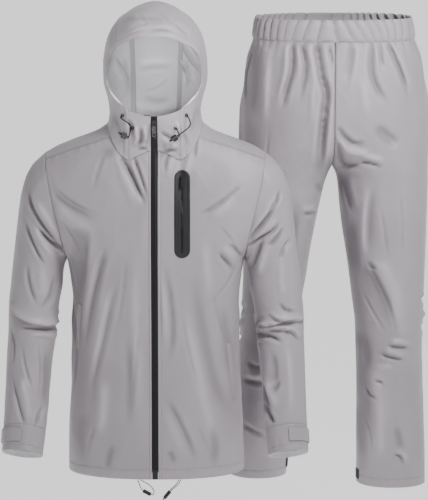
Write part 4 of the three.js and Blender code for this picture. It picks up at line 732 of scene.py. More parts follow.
# Each fold: its kind, its width and depth in millimetres (a trough is negative), how strongly it starts and
# ends from 0 to 1, and the places it passes
JACKET_FRONT = [
    ("vee", 7, -6, 0.9, 0, [(122.8, 157), (132.4, 172), (140.4, 188), (148.3, 204)]),
    ("vee", 5, -5, 0.9, 0, [(135, 156), (142, 174), (150.5, 200)]),
    ("soft", 9, 3, 0, 0, [(118, 160), (128, 182), (138, 206)]),
    ("soft", 9, -3.5, 0, 0, [(47.8, 186), (70, 204), (102, 218)]),
    ("vee", 4, -2, 0, 0, [(52, 184), (74, 200), (104, 213)]),
    ("soft", 14, 4, 0, 0, [(50, 200), (72, 218), (100, 230)]),
    ("soft", 18, -8, 0.3, 0.2, [(79, 226), (80, 250), (77, 285), (73, 330), (72, 372)]),
    ("edge", 9, 4, 0, 0, [(90, 222), (89, 244), (87, 268), (83, 300), (76, 350)]),
    ("vee", 9, -4.5, 0, 0, [(107.6, 243), (103.3, 259), (96.4, 287), (89.5, 320), (81, 368)]),
    ("vee", 8, -3, 0, 0, [(120.5, 270), (112, 302), (105, 333), (96.4, 368), (89.5, 402)]),
    ("soft", 13, 4, 0, 0, [(110, 280), (103, 310), (96, 345), (90, 380)]),
    ("soft", 14, 5, 0, 0, [(104, 372), (101, 405), (98, 440)]),
    ("soft", 13, -3, 0, 0.3, [(84, 405), (80, 435), (83, 468)]),
    ("soft", 8, -4, 0, 0, [(113.6, 440), (108, 458), (106.7, 470)]),
    ("soft", 9, -3, 0, 0, [(128, 330), (130, 380), (128, 430)]),
    ("soft", 14, 3, 0, 0, [(138, 230), (135, 300), (138, 370), (140, 440)]),
    ("vee", 5, -5, 0.9, 0, [(197, 136), (196.6, 146), (195.5, 158)]),
    ("soft", 8, 3, 0.5, 0, [(191, 138), (189, 160), (186, 180)]),
    ("vee", 5, -4, 0.8, 0, [(176, 150), (168, 158), (165, 170)]),
    ("soft", 7, 3, 0.8, 0, [(183, 148), (174, 160), (168, 178)]),
    ("vee", 6, -3.5, 0.6, 0, [(240, 186), (228, 196), (213, 206), (198, 213)]),
    ("soft", 11, 3, 0.3, 0, [(236, 198), (224, 207), (208, 216)]),
    ("vee", 8, -3, 0, 0, [(165, 255), (171, 292), (173.8, 330), (169, 362)]),
    ("soft", 9, 3, 0, 0, [(162, 270), (165, 310), (166, 345)]),
    ("soft", 13, -4, 0, 0, [(191, 250), (203, 326), (217, 385), (236, 425)]),
    ("soft", 14, 4, 0, 0, [(183, 290), (194, 350), (208, 410), (220, 450)]),
    ("vee", 8, -3.5, 0, 0, [(165.2, 392), (182.4, 424), (199.7, 466)]),
    ("soft", 9, 2, 0, 0, [(160, 400), (174, 430), (188, 462)]),
    ("soft", 7, -4, 0, 0, [(168.7, 447), (175.6, 462)]),
    ("vee", 6, -4, 0, 0.4, [(219, 249), (227, 259), (236, 271)]),
    ("vee", 5, -3.5, 0, 0.5, [(228, 240), (236, 247), (243, 256)]),
    ("soft", 10, 4, 0, 0.3, [(222, 243), (231, 252), (241, 264)]),
    ("soft", 12, -4, 0, 0, [(222, 300), (229, 340), (233, 390)]),
    ("soft", 10, -4, 0, 0.2, [(212, 420), (216, 445), (214, 468)]),
    ("soft", 12, 3, 0, 0, [(205, 230), (208, 265), (212, 300)]),
    ("vee", 5, -1.8, 0.2, 0, [(106, 152), (100, 168), (94, 190)]),
    ("vee", 4, -1.6, 0, 0, [(62, 214), (74, 236), (88, 262)]),
    ("vee", 4, -1.6, 0, 0, [(60, 236), (72, 262), (80, 296)]),
    ("vee", 4, -1.5, 0, 0, [(128, 250), (124, 290), (117, 330)]),
    ("vee", 4, -1.5, 0, 0, [(142, 300), (138, 350), (132, 410)]),
    ("vee", 4, -1.5, 0, 0, [(182, 300), (190, 350), (204, 400)]),
    ("vee", 4, -1.5, 0, 0, [(212, 280), (220, 318), (232, 352)]),
    ("vee", 4, -1.5, 0, 0, [(196, 420), (206, 440), (214, 462)]),
    ("vee", 4, -1.5, 0, 0, [(96, 420), (90, 440), (86, 462)]),
    ("vee", 4, -1.8, 0, 0, [(218, 222), (230, 234), (240, 250)]),
    ("vee", 4, -1.6, 0.3, 0, [(240, 262), (228, 284), (210, 302)]),
]
JACKET_BACK = [
    ("vee", 12, -7, 0.4, 0, [(68, 230), (90, 262), (112, 300)]),
    ("soft", 13, -6, 0.3, 0, [(243, 238), (215, 268), (186, 300)]),
    ("soft", 12, 4, 0.3, 0, [(70, 246), (92, 282), (108, 322)]),
    ("soft", 16, -6, 0, 0.2, [(126, 330), (116, 390), (108, 466)]),
    ("soft", 15, -6, 0, 0.2, [(190, 345), (196, 400), (199, 468)]),
    ("soft", 16, 4, 0, 0.2, [(156, 270), (160, 340), (158, 440)]),
    ("vee", 11, -5, 0, 0, [(84, 330), (78, 380), (76, 436)]),
    ("vee", 11, -5, 0, 0, [(228, 320), (234, 370), (236, 420)]),
    ("soft", 11, -5, 0.3, 0, [(58, 195), (80, 206), (106, 222)]),
    ("soft", 11, -5, 0.3, 0, [(254, 198), (236, 212), (212, 228)]),
    ("soft", 9, -3, 0, 0, [(140, 150), (146, 180), (150, 215)]),
    ("soft", 9, -3, 0, 0, [(176, 150), (170, 182), (166, 220)]),
    ("soft", 12, 3, 0, 0, [(100, 300), (92, 350), (90, 410)]),
    ("soft", 12, 3, 0, 0, [(214, 290), (218, 345), (222, 400)]),
]
SLEEVE_RIGHT_FRONT = [
    ("vee", 5, -4, 0, 0.5, [(28.7, 186), (31, 203), (44, 226), (62, 249)]),
    ("vee", 5, -3.5, 0, 0, [(23, 214), (29, 234), (38, 254), (46, 268)]),
    ("vee", 5, -7, 0, 0.8, [(37, 226), (50, 241), (64, 251)]),
    ("soft", 8, 4, 0, 0.4, [(34, 196), (46, 216), (60, 236)]),
    ("soft", 8, 4, 0, 0, [(31, 222), (42, 242), (56, 262)]),
    ("vee", 6, -3, 0, 0, [(25.8, 262), (29, 286), (37, 309)]),
    ("vee", 7, -4, 0, 0, [(54, 276), (49, 298), (39, 311)]),
    ("soft", 11, 4, 0, 0, [(40, 262), (42, 285), (40, 300)]),
    ("lip", 9, 8, 0.6, 0.5, [(60, 326), (50, 328.5), (38, 326), (25, 322), (14, 316), (8, 308)]),
    ("vee", 5, -4, 0, 0.7, [(16, 328), (38, 331), (58, 335)]),
    ("soft", 6, 4, 0, 0.4, [(24, 337), (40, 336), (56, 342)]),
    ("vee", 6, -3, 0, 0, [(9, 372), (16, 396), (22, 414), (27, 428)]),
    ("vee", 4, -1.8, 0, 0, [(36, 340), (40, 370), (38, 400)]),
    ("vee", 4, -1.8, 0, 0, [(20, 344), (24, 366), (32, 390)]),
    ("soft", 8, 4, 0, 0, [(18, 372), (25, 396), (31, 420)]),
    ("soft", 9, -4, 0, 0, [(44, 350), (46, 380), (44, 410)]),
    ("vee", 4, -2, 0.3, 0, [(9, 330), (12, 348), (11, 368)]),
    ("vee", 5, -4, 0.4, 0, [(36, 426), (38, 414), (44, 404)]),
]
SLEEVE_LEFT_FRONT = [
    ("vee", 5, -6, 0, 0, [(281.5, 190), (278.6, 201), (268.4, 212)]),
    ("vee", 5, -7, 0, 0.7, [(278, 206), (267, 219), (250.5, 240)]),
    ("soft", 6, 4, 0, 0.4, [(276, 199), (264, 214), (250, 231)]),
    ("vee", 5, -5, 0, 0.6, [(283, 221), (275, 230), (260.7, 238), (250, 246)]),
    ("soft", 6, 4, 0, 0.4, [(280, 216), (270, 226), (256, 238)]),
    ("vee", 6, -5, 0, 0, [(287, 226), (278.6, 238), (268, 248)]),
    ("vee", 6, -4, 0, 0, [(295, 238), (286, 249), (282, 262)]),
    ("vee", 6, -5, 0.4, 0, [(264, 240), (258, 256), (252, 272)]),
    ("soft", 7, 4, 0.3, 0, [(270, 246), (264, 262), (260, 278)]),
    ("vee", 6, -3.5, 0, 0, [(280, 302), (288, 311), (302, 315)]),
    ("lip", 6, 7, 0.2, 0.3, [(300, 321), (290, 321.5), (281, 320), (272, 315)]),
    ("lip", 6, 7, 0.8, 0.8, [(305, 323), (290, 321.5), (278, 325), (262, 328.5), (254, 329)]),
    ("lip", 6, 7, 0.8, 0.4, [(300, 340), (294, 332.5), (282, 330), (268, 331.5), (254, 335)]),
    ("vee", 6, -6, 0.8, 0, [(255, 341), (270, 337.5), (286, 343)]),
    ("soft", 12, -5, 0.3, 0.3, [(262, 318), (259, 330), (260, 348)]),
    ("vee", 8, -5, 0, 0, [(262, 380), (266, 396), (273, 412)]),
    ("vee", 7, -4, 0, 0, [(283, 379), (277, 387), (271, 394)]),
    ("soft", 8, 4, 0, 0, [(268, 376), (273, 392), (280, 408)]),
    ("vee", 7, -5, 0, 0, [(263, 402), (270, 412), (277, 424)]),
    ("soft", 9, -4, 0, 0, [(274, 350), (276, 370), (276, 386)]),
    ("soft", 9, 3, 0, 0, [(290, 345), (292, 380), (292, 415)]),
    ("soft", 9, 3, 0, 0, [(284, 255), (283, 280), (286, 300)]),
]
SLEEVE_BACK = [
    ("vee", 7, -5, 0, 0.5, [(32, 196), (46, 222), (62, 246)]),
    ("vee", 7, -5, 0, 0.5, [(27, 228), (42, 248), (56, 264)]),
    ("lip", 8, 6, 0.5, 0.5, [(60, 318), (44, 322), (28, 321), (10, 313)]),
    ("vee", 7, -6, 0.3, 0.3, [(58, 330), (40, 333), (18, 330)]),
    ("soft", 9, -4, 0, 0, [(16, 372), (28, 396), (34, 424)]),
    ("soft", 10, 4, 0, 0, [(40, 270), (42, 290), (38, 306)]),
]
TROUSER_FRONT = [
    ("soft", 13, -7, 0.5, 0, [(254, 46), (252, 80), (250, 125)]),
    ("soft", 10, 4, 0.5, 0, [(266, 46), (264, 84), (262, 130)]),
    ("vee", 8, -6, 1, 0, [(290.6, 42), (289.8, 67), (284.2, 89), (279.4, 110)]),
    ("soft", 7, 3.5, 0.8, 0, [(284, 42), (282, 70), (276, 96)]),
    ("vee", 7, -5, 1, 0, [(298.4, 42), (302.6, 60), (301.8, 77), (296.2, 104)]),
    ("soft", 7, 3, 0.8, 0, [(307, 43), (311, 66), (310, 96), (309, 140)]),
    ("vee", 10, -9, 0.8, 0, [(314, 42), (319.3, 74), (323.5, 92), (321.7, 112), (318.5, 144), (315, 186)]),
    ("edge", 7, 3.5, 0, 0, [(327, 84), (326, 112), (323, 150), (321, 188)]),
    ("vee", 5, -4, 1, 0, [(325.7, 42), (329, 56), (332.4, 71)]),
    ("soft", 8, -4, 0, 0, [(322, 192), (319, 188), (314, 181)]),
    ("soft", 7, -3, 0.8, 0, [(348.8, 44), (346.5, 60), (343, 80)]),
    ("soft", 7, 2.5, 0.8, 0, [(355, 44), (352, 66), (346, 96)]),
    ("vee", 9, -5, 0.8, 0, [(369, 42), (368, 66), (374, 86), (387, 105)]),
    ("vee", 6, -4, 1, 0, [(376, 42), (377.5, 54), (380, 67)]),
    ("vee", 7, -5, 1, 0, [(386, 42), (392, 56), (399.5, 74), (408, 103)]),
    ("soft", 9, 3.5, 0.6, 0, [(393, 44), (401, 66), (410, 92)]),
    ("soft", 12, 3, 0, 0, [(360, 70), (362, 96), (366, 118)]),
    ("vee", 8, -5.5, 0.6, 0, [(336, 126), (344, 136), (353, 141), (365, 140)]),
    ("soft", 8, 5, 0.3, 0, [(336, 137), (345, 148), (357, 151), (370, 146)]),
    ("soft", 13, -6, 0, 0, [(371, 122), (384, 134), (398, 143)]),
    ("vee", 5, -4.5, 0, 0, [(356, 159), (368, 160), (383, 165.5)]),
    ("soft", 7, 4, 0, 0, [(356, 152), (370, 155), (385, 159)]),
    ("vee", 9, -6, 0.7, 0, [(334.5, 142), (340, 158), (350, 163), (360, 161)]),
    ("vee", 10, -6, 0.2, 0, [(341, 170), (345, 190), (352, 214)]),
    ("edge", 9, -5, 0, 0, [(369, 180), (366, 205), (365, 232), (366, 258)]),
    ("soft", 13, -5, 0, 0, [(352, 215), (353, 245), (356, 275)]),
    ("edge", 17, 6, 0, 0.2, [(366, 255), (375, 273), (388, 299), (398, 333)]),
    ("vee", 5, -2.5, 0, 0.2, [(366, 258), (375, 273), (388, 299), (397.4, 331)]),
    ("edge", 16, 5, 0, 0, [(372, 352), (370, 380), (374, 410), (376, 445)]),
    ("vee", 4, -2, 0, 0, [(362, 290), (374, 312), (388, 334)]),
    ("vee", 4, -1.8, 0, 0, [(378, 200), (384, 230), (388, 262)]),
    ("vee", 4, -1.8, 0, 0, [(398, 180), (402, 220), (401, 260)]),
    ("vee", 4, -1.8, 0, 0, [(364, 414), (372, 436), (374, 462)]),
    ("vee", 4, -1.6, 0, 0, [(286, 150), (280, 190), (276, 240)]),
    ("vee", 4, -1.6, 0, 0, [(268, 120), (264, 170), (262, 220)]),
    ("soft", 12, 3, 0, 0, [(378, 258), (388, 276), (400, 302)]),
    ("vee", 6, -4, 0, 0, [(368, 261), (373, 265), (377, 267)]),
    ("vee", 6, -3.5, 0, 0.2, [(386, 346), (400, 347), (414, 349)]),
    ("soft", 6, 5, 0, 0, [(388, 342), (400, 341), (414, 343)]),
    ("vee", 6, -3.5, 0.2, 0, [(377, 352.5), (392, 357), (410, 361)]),
    ("soft", 7, 5, 0, 0, [(383, 349), (394, 351.5), (408, 355)]),
    ("soft", 7, 4, 0, 0, [(372, 368), (384, 367), (397, 366)]),
    ("vee", 6, -4, 0, 0, [(373, 381), (380, 382), (386, 385)]),
    ("vee", 6, -4, 0, 0, [(367, 388), (372, 396), (380, 400)]),
    ("soft", 13, -6, 0, 0, [(360, 330), (366, 352), (368, 376)]),
    ("soft", 12, -4, 0, 0.3, [(360, 400), (364, 435), (366, 474)]),
    ("soft", 13, 4, 0, 0, [(376, 400), (380, 432), (384, 462)]),
    ("soft", 9, -4, 0, 0, [(398, 425), (401, 440), (406, 455)]),
    ("vee", 5, -3.5, 0, 0, [(394, 457), (402, 458.5), (407, 469)]),
    ("soft", 6, 3, 0, 0, [(396, 452), (406, 455), (412, 466)]),
    ("vee", 6, -4, 0, 0, [(301, 212), (309, 213), (318, 213)]),
    ("soft", 7, 3, 0, 0, [(300, 206), (309, 207), (319, 206)]),
    ("vee", 7, -3.5, 0, 0.3, [(247, 363), (254, 368), (266, 370)]),
    ("vee", 7, -3.5, 0.3, 0.3, [(241, 382), (254, 384), (266, 385)]),
    ("soft", 8, 4, 0, 0, [(245, 375), (254, 377), (264, 377)]),
    ("vee", 7, -3, 0.3, 0.3, [(242, 428), (253, 434), (266, 441)]),
    ("soft", 14, 4, 0, 0, [(284, 185), (276, 250), (272, 320)]),
    ("soft", 13, -5, 0, 0, [(296, 190), (290, 250), (284, 310)]),
]
TROUSER_BACK = [
    ("vee", 8, -5, 1, 0, [(275, 42), (274, 62), (270, 92)]),
    ("vee", 8, -5, 1, 0, [(305, 42), (306, 64), (307, 90)]),
    ("vee", 8, -5, 1, 0, [(356, 42), (358, 66), (360, 94)]),
    ("vee", 8, -5, 1, 0, [(386, 42), (388, 70), (392, 98)]),
    ("soft", 7, 3, 0.8, 0, [(290, 43), (290, 66), (287, 96)]),
    ("soft", 7, 3, 0.8, 0, [(371, 43), (373, 66), (376, 96)]),
    ("vee", 11, -7, 0, 0, [(321, 131), (300, 140), (282, 148)]),
    ("vee", 11, -7, 0, 0, [(344, 129), (364, 140), (384, 149)]),
    ("vee", 11, -6, 0.3, 0, [(316, 158), (292, 170), (268, 180)]),
    ("vee", 11, -6, 0.3, 0, [(348, 160), (372, 172), (396, 184)]),
    ("vee", 9, -7, 0, 0, [(255, 311), (270, 318), (287, 324)]),
    ("vee", 9, -7, 0, 0, [(377, 314), (396, 318), (414, 322)]),
    ("soft", 8, 5, 0, 0, [(248, 334), (264, 336), (282, 338)]),
    ("soft", 8, 5, 0, 0, [(380, 334), (398, 336), (415, 340)]),
    ("vee", 8, -5, 0, 0, [(252, 343), (268, 346), (284, 352)]),
    ("vee", 8, -5, 0, 0, [(378, 346), (396, 348), (412, 354)]),
    ("soft", 15, -5, 0, 0.3, [(254, 375), (258, 415), (260, 456)]),
    ("soft", 15, -5, 0, 0.3, [(396, 375), (398, 420), (400, 466)]),
    ("soft", 14, 4, 0, 0, [(280, 200), (272, 250), (268, 300)]),
    ("soft", 14, 4, 0, 0, [(388, 200), (392, 250), (396, 300)]),
]
# Folds on the sides, by how far back and how high they lie in millimetres
JACKET_SIDE = [
    ("vee", 7, -4, 0, 0, [(-30, -330), (-10, -420), (-22, -520)]),
    ("soft", 11, 4, 0, 0, [(10, -350), (24, -450), (12, -560)]),
    ("vee", 7, -4, 0, 0, [(36, -380), (48, -480), (40, -600)]),
    ("soft", 11, -4, 0, 0, [(-18, -560), (-4, -630), (-12, -700)]),
]
TROUSER_SIDE = [
    ("vee", 8, -5, 0.8, 0, [(-34, 176), (-26, 120), (-34, 60)]),
    ("vee", 7, -4, 0.8, 0, [(20, 176), (26, 130), (18, 84)]),
    ("soft", 14, 5, 0, 0, [(-6, 120), (4, 20), (-4, -90)]),
    ("soft", 13, -5, 0, 0, [(26, 10), (34, -90), (22, -200)]),
    ("vee", 8, -5, 0, 0, [(-44, -380), (-14, -400), (26, -396)]),
    ("vee", 8, -5, 0, 0, [(-30, -452), (4, -468), (44, -456)]),
    ("soft", 9, 5, 0, 0, [(-38, -424), (0, -434), (38, -424)]),
    ("vee", 9, -4, 0, 0, [(-24, -520), (-6, -600), (-16, -690)]),
    ("soft", 12, 4, 0, 0, [(20, -560), (26, -650), (18, -740)]),
]
HOOD_FRONT = [
    ("vee", 5, -1.8, 0, 0, [(121, 27), (132, 21), (150, 19), (166, 20)]),
    ("vee", 4, -1.6, 0, 0, [(138, 13), (146, 21), (150, 30)]),
    ("vee", 4, -1.5, 0, 0, [(160, 12), (168, 20), (178, 25)]),
    ("vee", 4, -1.5, 0, 0, [(128, 34), (140, 27), (158, 24)]),
    ("soft", 7, 1.6, 0, 0, [(124, 32), (140, 28), (160, 27), (180, 28)]),
    ("vee", 4, -1.6, 0, 0, [(146, 34), (162, 31), (176, 33)]),
    ("vee", 5, -2.5, 0, 0, [(176, 24), (184, 30), (191, 38)]),
    ("soft", 9, -3, 0, 0, [(112, 48), (109, 66), (108, 84)]),
    ("soft", 9, -3, 0, 0, [(200, 50), (203, 70), (202, 90)]),
    ("vee", 6, -4, 0, 0, [(128, 118), (133, 126), (134, 136)]),
    ("vee", 6, -5, 0, 0.3, [(141, 126), (143, 136), (138, 148)]),
    ("soft", 6, 4, 0, 0, [(136, 124), (139, 134), (136, 146)]),
    ("vee", 5, -4, 0.2, 0.4, [(139, 149), (145, 147.5), (149, 150)]),
    ("soft", 6, 3, 0, 0, [(145, 122), (147, 132), (147, 142)]),
    ("vee", 6, -4, 0.5, 0, [(163, 132), (170, 136), (177, 139)]),
    ("vee", 5, -4, 0.4, 0, [(164, 152), (171, 149), (180, 150)]),
    ("soft", 6, 4, 0, 0, [(164, 142), (172, 144), (182, 144)]),
    ("vee", 5, -3, 0, 0, [(184, 130), (188, 138), (189, 148)]),
    ("soft", 6, 3, 0, 0, [(176, 120), (181, 128), (184, 138)]),
    ("soft", 8, -3, 0, 0.3, [(113, 108), (118, 124), (124, 140)]),
    ("soft", 8, -3, 0, 0.3, [(200, 104), (197, 120), (192, 134)]),
]
HOOD_BACK = [
    ("vee", 7, -2.5, 0, 0, [(132, 77), (152, 73.5), (176, 73)]),
    ("soft", 9, 2.5, 0, 0, [(132, 68), (152, 66), (178, 66)]),
    ("soft", 9, -4, 0, 0, [(118, 60), (122, 80), (126, 104)]),
    ("vee", 6, -7, 0, 0, [(180, 44), (192, 62), (205, 80)]),
    ("vee", 5, -5, 0, 0, [(177, 60), (186, 74), (196, 92)]),
    ("vee", 5, -5, 0, 0, [(112, 60), (118, 76), (126, 86)]),
    ("vee", 4, -1.6, 0, 0, [(140, 100), (156, 94), (172, 84)]),
    ("vee", 6, -4, 0, 0, [(186, 60), (190, 78), (188, 96)]),
    ("soft", 8, -3, 0, 0, [(140, 104), (156, 108), (172, 104)]),
]


def as_given(y, z):
    return (y, z)


def fold_field(x, z, rows, place, mirror=False):
    """How far the folds move the points out, in millimetres."""
    x, z = np.asarray(x, float), np.asarray(z, float)
    total = np.zeros(x.shape)
    for kind, width, depth, first, last, spots in rows:
        width = width * (0.78 if kind == "vee" else 0.85)
        depth = depth * (1.15 if kind == "vee" else 0.85)
        knots = np.array([place(*s) for s in spots], float)
        if mirror:
            knots[:, 0] *= -1
        count = 8 * (len(knots) - 1)
        at = np.linspace(0, len(knots) - 1, count + 1)
        line = np.stack([spline_read(knots[:, k], at) for k in range(2)], axis=-1)
        low, high = line.min(0) - 3.2 * width, line.max(0) + 3.2 * width
        near = (x > low[0]) & (x < high[0]) & (z > low[1]) & (z < high[1])
        if not near.any():
            continue
        p = np.stack([x[near], z[near]], axis=-1)
        best = np.full(len(p), np.inf)
        along = np.zeros(len(p))
        sign = np.ones(len(p))
        for k in range(count):
            a, d = line[k], line[k + 1] - line[k]
            t = ((p - a) @ d) / (d @ d)
            inside = np.clip(t, 0, 1)
            off = p - a - inside[:, None] * d
            distance = np.hypot(off[:, 0], off[:, 1])
            closer = distance < best
            best = np.where(closer, distance, best)
            beyond = inside if 0 < k < count - 1 else np.where(k == 0, np.minimum(t, 1), np.maximum(t, 0))
            along = np.where(closer, (k + beyond) / count, along)
            sign = np.where(closer, np.sign(d[0] * (p[:, 1] - a[1]) - d[1] * (p[:, 0] - a[0])), sign)
        a = sign * best / width
        if kind == "soft":
            shape = np.exp(-a * a)
        elif kind == "vee":
            shape = np.exp(-1.5 * np.abs(a) ** 1.1) - 0.22 * np.exp(-((np.abs(a) - 1.9) / 0.8) ** 2)
        elif kind == "edge":
            shape = np.tanh(1.6 * a) * np.exp(-a * a / 4)
        else:
            rise = np.exp(-np.maximum(-a, 0) * 0.75)
            drop = -0.55 * np.exp(-np.maximum(a, 0) * 1.1)
            shape = mix(rise, drop, smooth(a, -0.25, 0.35))
        start = mix(first, 1, smooth(along, 0, 0.35)) * smooth(along, -0.06, 0.02)
        end = mix(last, 1, smooth(1 - along, 0, 0.35)) * smooth(1 - along, -0.06, 0.02)
        total[near] += depth * shape * start * end
    return 1.75 * total


def spline_read(values, at, knots=None):
    """A Catmull-Rom curve through values at their knots."""
    values = np.asarray(values, float)
    knots = np.arange(len(values), dtype=float) if knots is None else np.asarray(knots, float)
    slope = np.diff(values, axis=0) / np.diff(knots).reshape((-1,) + (1,) * (values.ndim - 1))
    tangent = np.empty_like(values)
    tangent[0], tangent[-1] = slope[0], slope[-1]
    w = np.diff(knots)
    a = (w[1:] / (w[1:] + w[:-1])).reshape((-1,) + (1,) * (values.ndim - 1))
    tangent[1:-1] = slope[:-1] * a + slope[1:] * (1 - a)
    i = np.clip(np.searchsorted(knots, at, side="right") - 1, 0, len(knots) - 2)
    width = knots[i + 1] - knots[i]
    t = (at - knots[i]) / width
    shape = (-1,) + (1,) * (values.ndim - 1)
    t, width = t.reshape(shape), width.reshape(shape)
    r = 1 - t
    return (values[i] * (1 + 2 * t) * r * r + tangent[i] * width * t * r * r
            + values[i + 1] * t * t * (3 - 2 * t) + tangent[i + 1] * width * t * t * (t - 1))


LATTICE = np.random.default_rng(11).random((24, 24, 24))


def value_noise(p, scale):
    """Smooth noise from -1 to 1 whose bumps are about scale wide."""
    q = p / scale
    base = np.floor(q).astype(int)
    t = q - base
    t = t * t * (3 - 2 * t)
    total = 0
    for dx in (0, 1):
        for dy in (0, 1):
            for dz in (0, 1):
                corner = LATTICE[(base[..., 0] + dx) % 24, (base[..., 1] + dy) % 24, (base[..., 2] + dz) % 24]
                total = total + corner * np.abs(1 - dx - t[..., 0]) * np.abs(1 - dy - t[..., 1]) \
                    * np.abs(1 - dz - t[..., 2])
    return 2 * total - 1


# ---------------------------------------------------------------- cloth pieces
def knots_of(points, axis):
    """The mean length along a grid's rows or columns."""
    steps = np.linalg.norm(np.diff(points, axis=axis), axis=-1).mean(axis=1 - axis)
    return np.concatenate([[0], np.cumsum(steps)])


def spans(grid):
    """A grid's mean length and width."""
    return knots_of(grid, 0)[-1], knots_of(grid, 1)[-1]


def grid_of(point, rows, columns):
    return np.array([[point(i, j) for j in range(columns + 1)] for i in range(rows + 1)])


def fine_knots(length, step, tight=(), spread=(0.9, 2.2, 4.0)):
    """Evenly spaced places, with more close to the places that are listed."""
    count = max(2, round(length / step))
    places = set(np.round(np.linspace(0, length, count + 1), 4))
    for t in tight:
        for d in (0,) + tuple(spread) + tuple(-s for s in spread):
            if 0 <= t + d <= length:
                places.add(round(float(t + d), 4))
    out = []
    for q in sorted(places):
        if not out or q - out[-1] > 0.45:
            out.append(q)
    out[-1] = length
    return np.array(out)


def refined(coarse, step, tight_rows=(), tight_columns=()):
    rows, columns = knots_of(coarse, 0), knots_of(coarse, 1)
    r = fine_knots(rows[-1], step, tight_rows)
    c = fine_knots(columns[-1], step, tight_columns)
    first = spline_read(coarse, r, rows)
    return np.swapaxes(spline_read(np.swapaxes(first, 0, 1), c, columns), 0, 1), r, c


def grid_normals(p, closed=False):
    if closed:
        across = np.roll(p, -1, axis=1) - np.roll(p, 1, axis=1)
    else:
        across = np.gradient(p, axis=1)
    n = np.cross(across, np.gradient(p, axis=0))
    return n / np.maximum(np.linalg.norm(n, axis=-1, keepdims=True), 1e-9)


def outward_normals(p, core, closed=False):
    n = grid_normals(p, closed)
    i, j = p.shape[0] // 2, p.shape[1] // 2
    return n if np.dot(p[i, j] - core, n[i, j]) > 0 else -n


PIECES = {}


def mesh_object(name, points, faces, materials, uv=None, painted_shading=None, smooth_shade=True):
    data = bpy.data.meshes.new(name)
    data.from_pydata((np.asarray(points) * MM).tolist(), [], faces)
    for m in materials:
        data.materials.append(m)
    if smooth_shade:
        data.polygons.foreach_set("use_smooth", [True] * len(data.polygons))
    loops = np.zeros(len(data.loops), int)
    data.loops.foreach_get("vertex_index", loops)
    if uv is not None:
        layer = data.uv_layers.new(name="cut")
        layer.data.foreach_set("uv", (np.asarray(uv)[loops] * MM).ravel())
    # The painted shading of the folds and seams, kept per point for the cloth material
    if painted_shading is not None:
        attribute = data.attributes.new("painted_shading", "FLOAT", "POINT")
        attribute.data.foreach_set("value", np.asarray(painted_shading, np.float32).ravel())
    o = bpy.data.objects.new(name, data)
    bpy.context.collection.objects.link(o)
    return o


def grid_faces(rows, columns, closed, flip):
    faces = []
    for i in range(rows - 1):
        for j in range(columns if closed else columns - 1):
            a, b = i * columns + j, i * columns + (j + 1) % columns
            c, d = b + columns, a + columns
            faces.append((a, d, c, b) if flip else (a, b, c, d))
    return faces


def cloth_piece(node_name, p, core, r, c, move, closed=False, thickness=1.0, inside=None):
    """Moves a fine grid by its folds and makes a thin shell of it, which stands for its node."""
    core = np.array(core, float)
    normals = outward_normals(p, core, closed)
    moved, out = move(p, normals)
    rows, columns = p.shape[:2]
    middle = grid_normals(moved, closed)[rows // 2, columns // 2]
    flip = np.dot(moved[rows // 2, columns // 2] - core, middle) < 0
    # a face a, b, c, d turns from along the columns to along the rows, as the grid's normal does
    faces = grid_faces(rows, columns, closed, flip)
    # Painted shading from the fold height: troughs painted darker, ridges painted lighter
    painted_shading = np.clip(out / 5.0, -1, 1)
    u = np.broadcast_to(np.asarray(c)[None, :columns], (rows, columns))
    v = np.broadcast_to(np.asarray(r)[:, None], (rows, columns))
    o = mesh_object("cloth_" + node_name, moved.reshape(-1, 3), faces, [CLOTH, inside or LINING],
                    np.stack([u, v], -1).reshape(-1, 2), painted_shading.ravel())
    shell = o.modifiers.new("thickness", "SOLIDIFY")
    shell.thickness = thickness * MM
    shell.offset = -1
    shell.material_offset = 1
    shell.use_even_offset = False
    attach(o, BODY_NAME)
    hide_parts(node_name)
    PIECES[node_name] = {"object": o, "points": moved, "normals": outward_normals(moved, core, closed),
                         "faces": faces}
    return o


def away_weight(p, middle_y, low=3, high=26):
    return smooth(np.abs(p[..., 1] - middle_y), low, high)


def near_noise(p):
    """Soft unevenness of thin cloth."""
    long = p * [1, 1, 0.55]
    ridged = 1 - 2 * np.abs(value_noise(long + 300, 62))
    return 0.9 * value_noise(long, 95) + 0.55 * value_noise(long + 91, 38) + 0.5 * np.maximum(ridged, 0) ** 3


NECK_LINE = np.array([neck_point(s, t) for s in (-1, 1) for t in np.linspace(0, 1, 60)])


def neck_distance(p):
    flat = p.reshape(-1, 3)
    best = np.full(len(flat), 1e9)
    for q in NECK_LINE:
        best = np.minimum(best, ((flat - q) ** 2).sum(1))
    return np.sqrt(best).reshape(p.shape[:-1])


HEM_STITCH = -717


def hem_tunnel(z, x, line, keep=1.0):
    """A stitched hem: a groove at the stitches, puckers beside it and a slightly fuller edge."""
    d = z - line
    pucker = 0.5 * np.sin(x / 2.9 + 1.7 * np.sin(x / 17)) * (0.55 + 0.45 * np.sin(x / 41 + 1))
    below = smooth(-d, 1, 6) * smooth(d, -26, -16)
    return keep * (-1.0 * bell(d, 1.7) + pucker * bell(d, 7) + 0.7 * below)


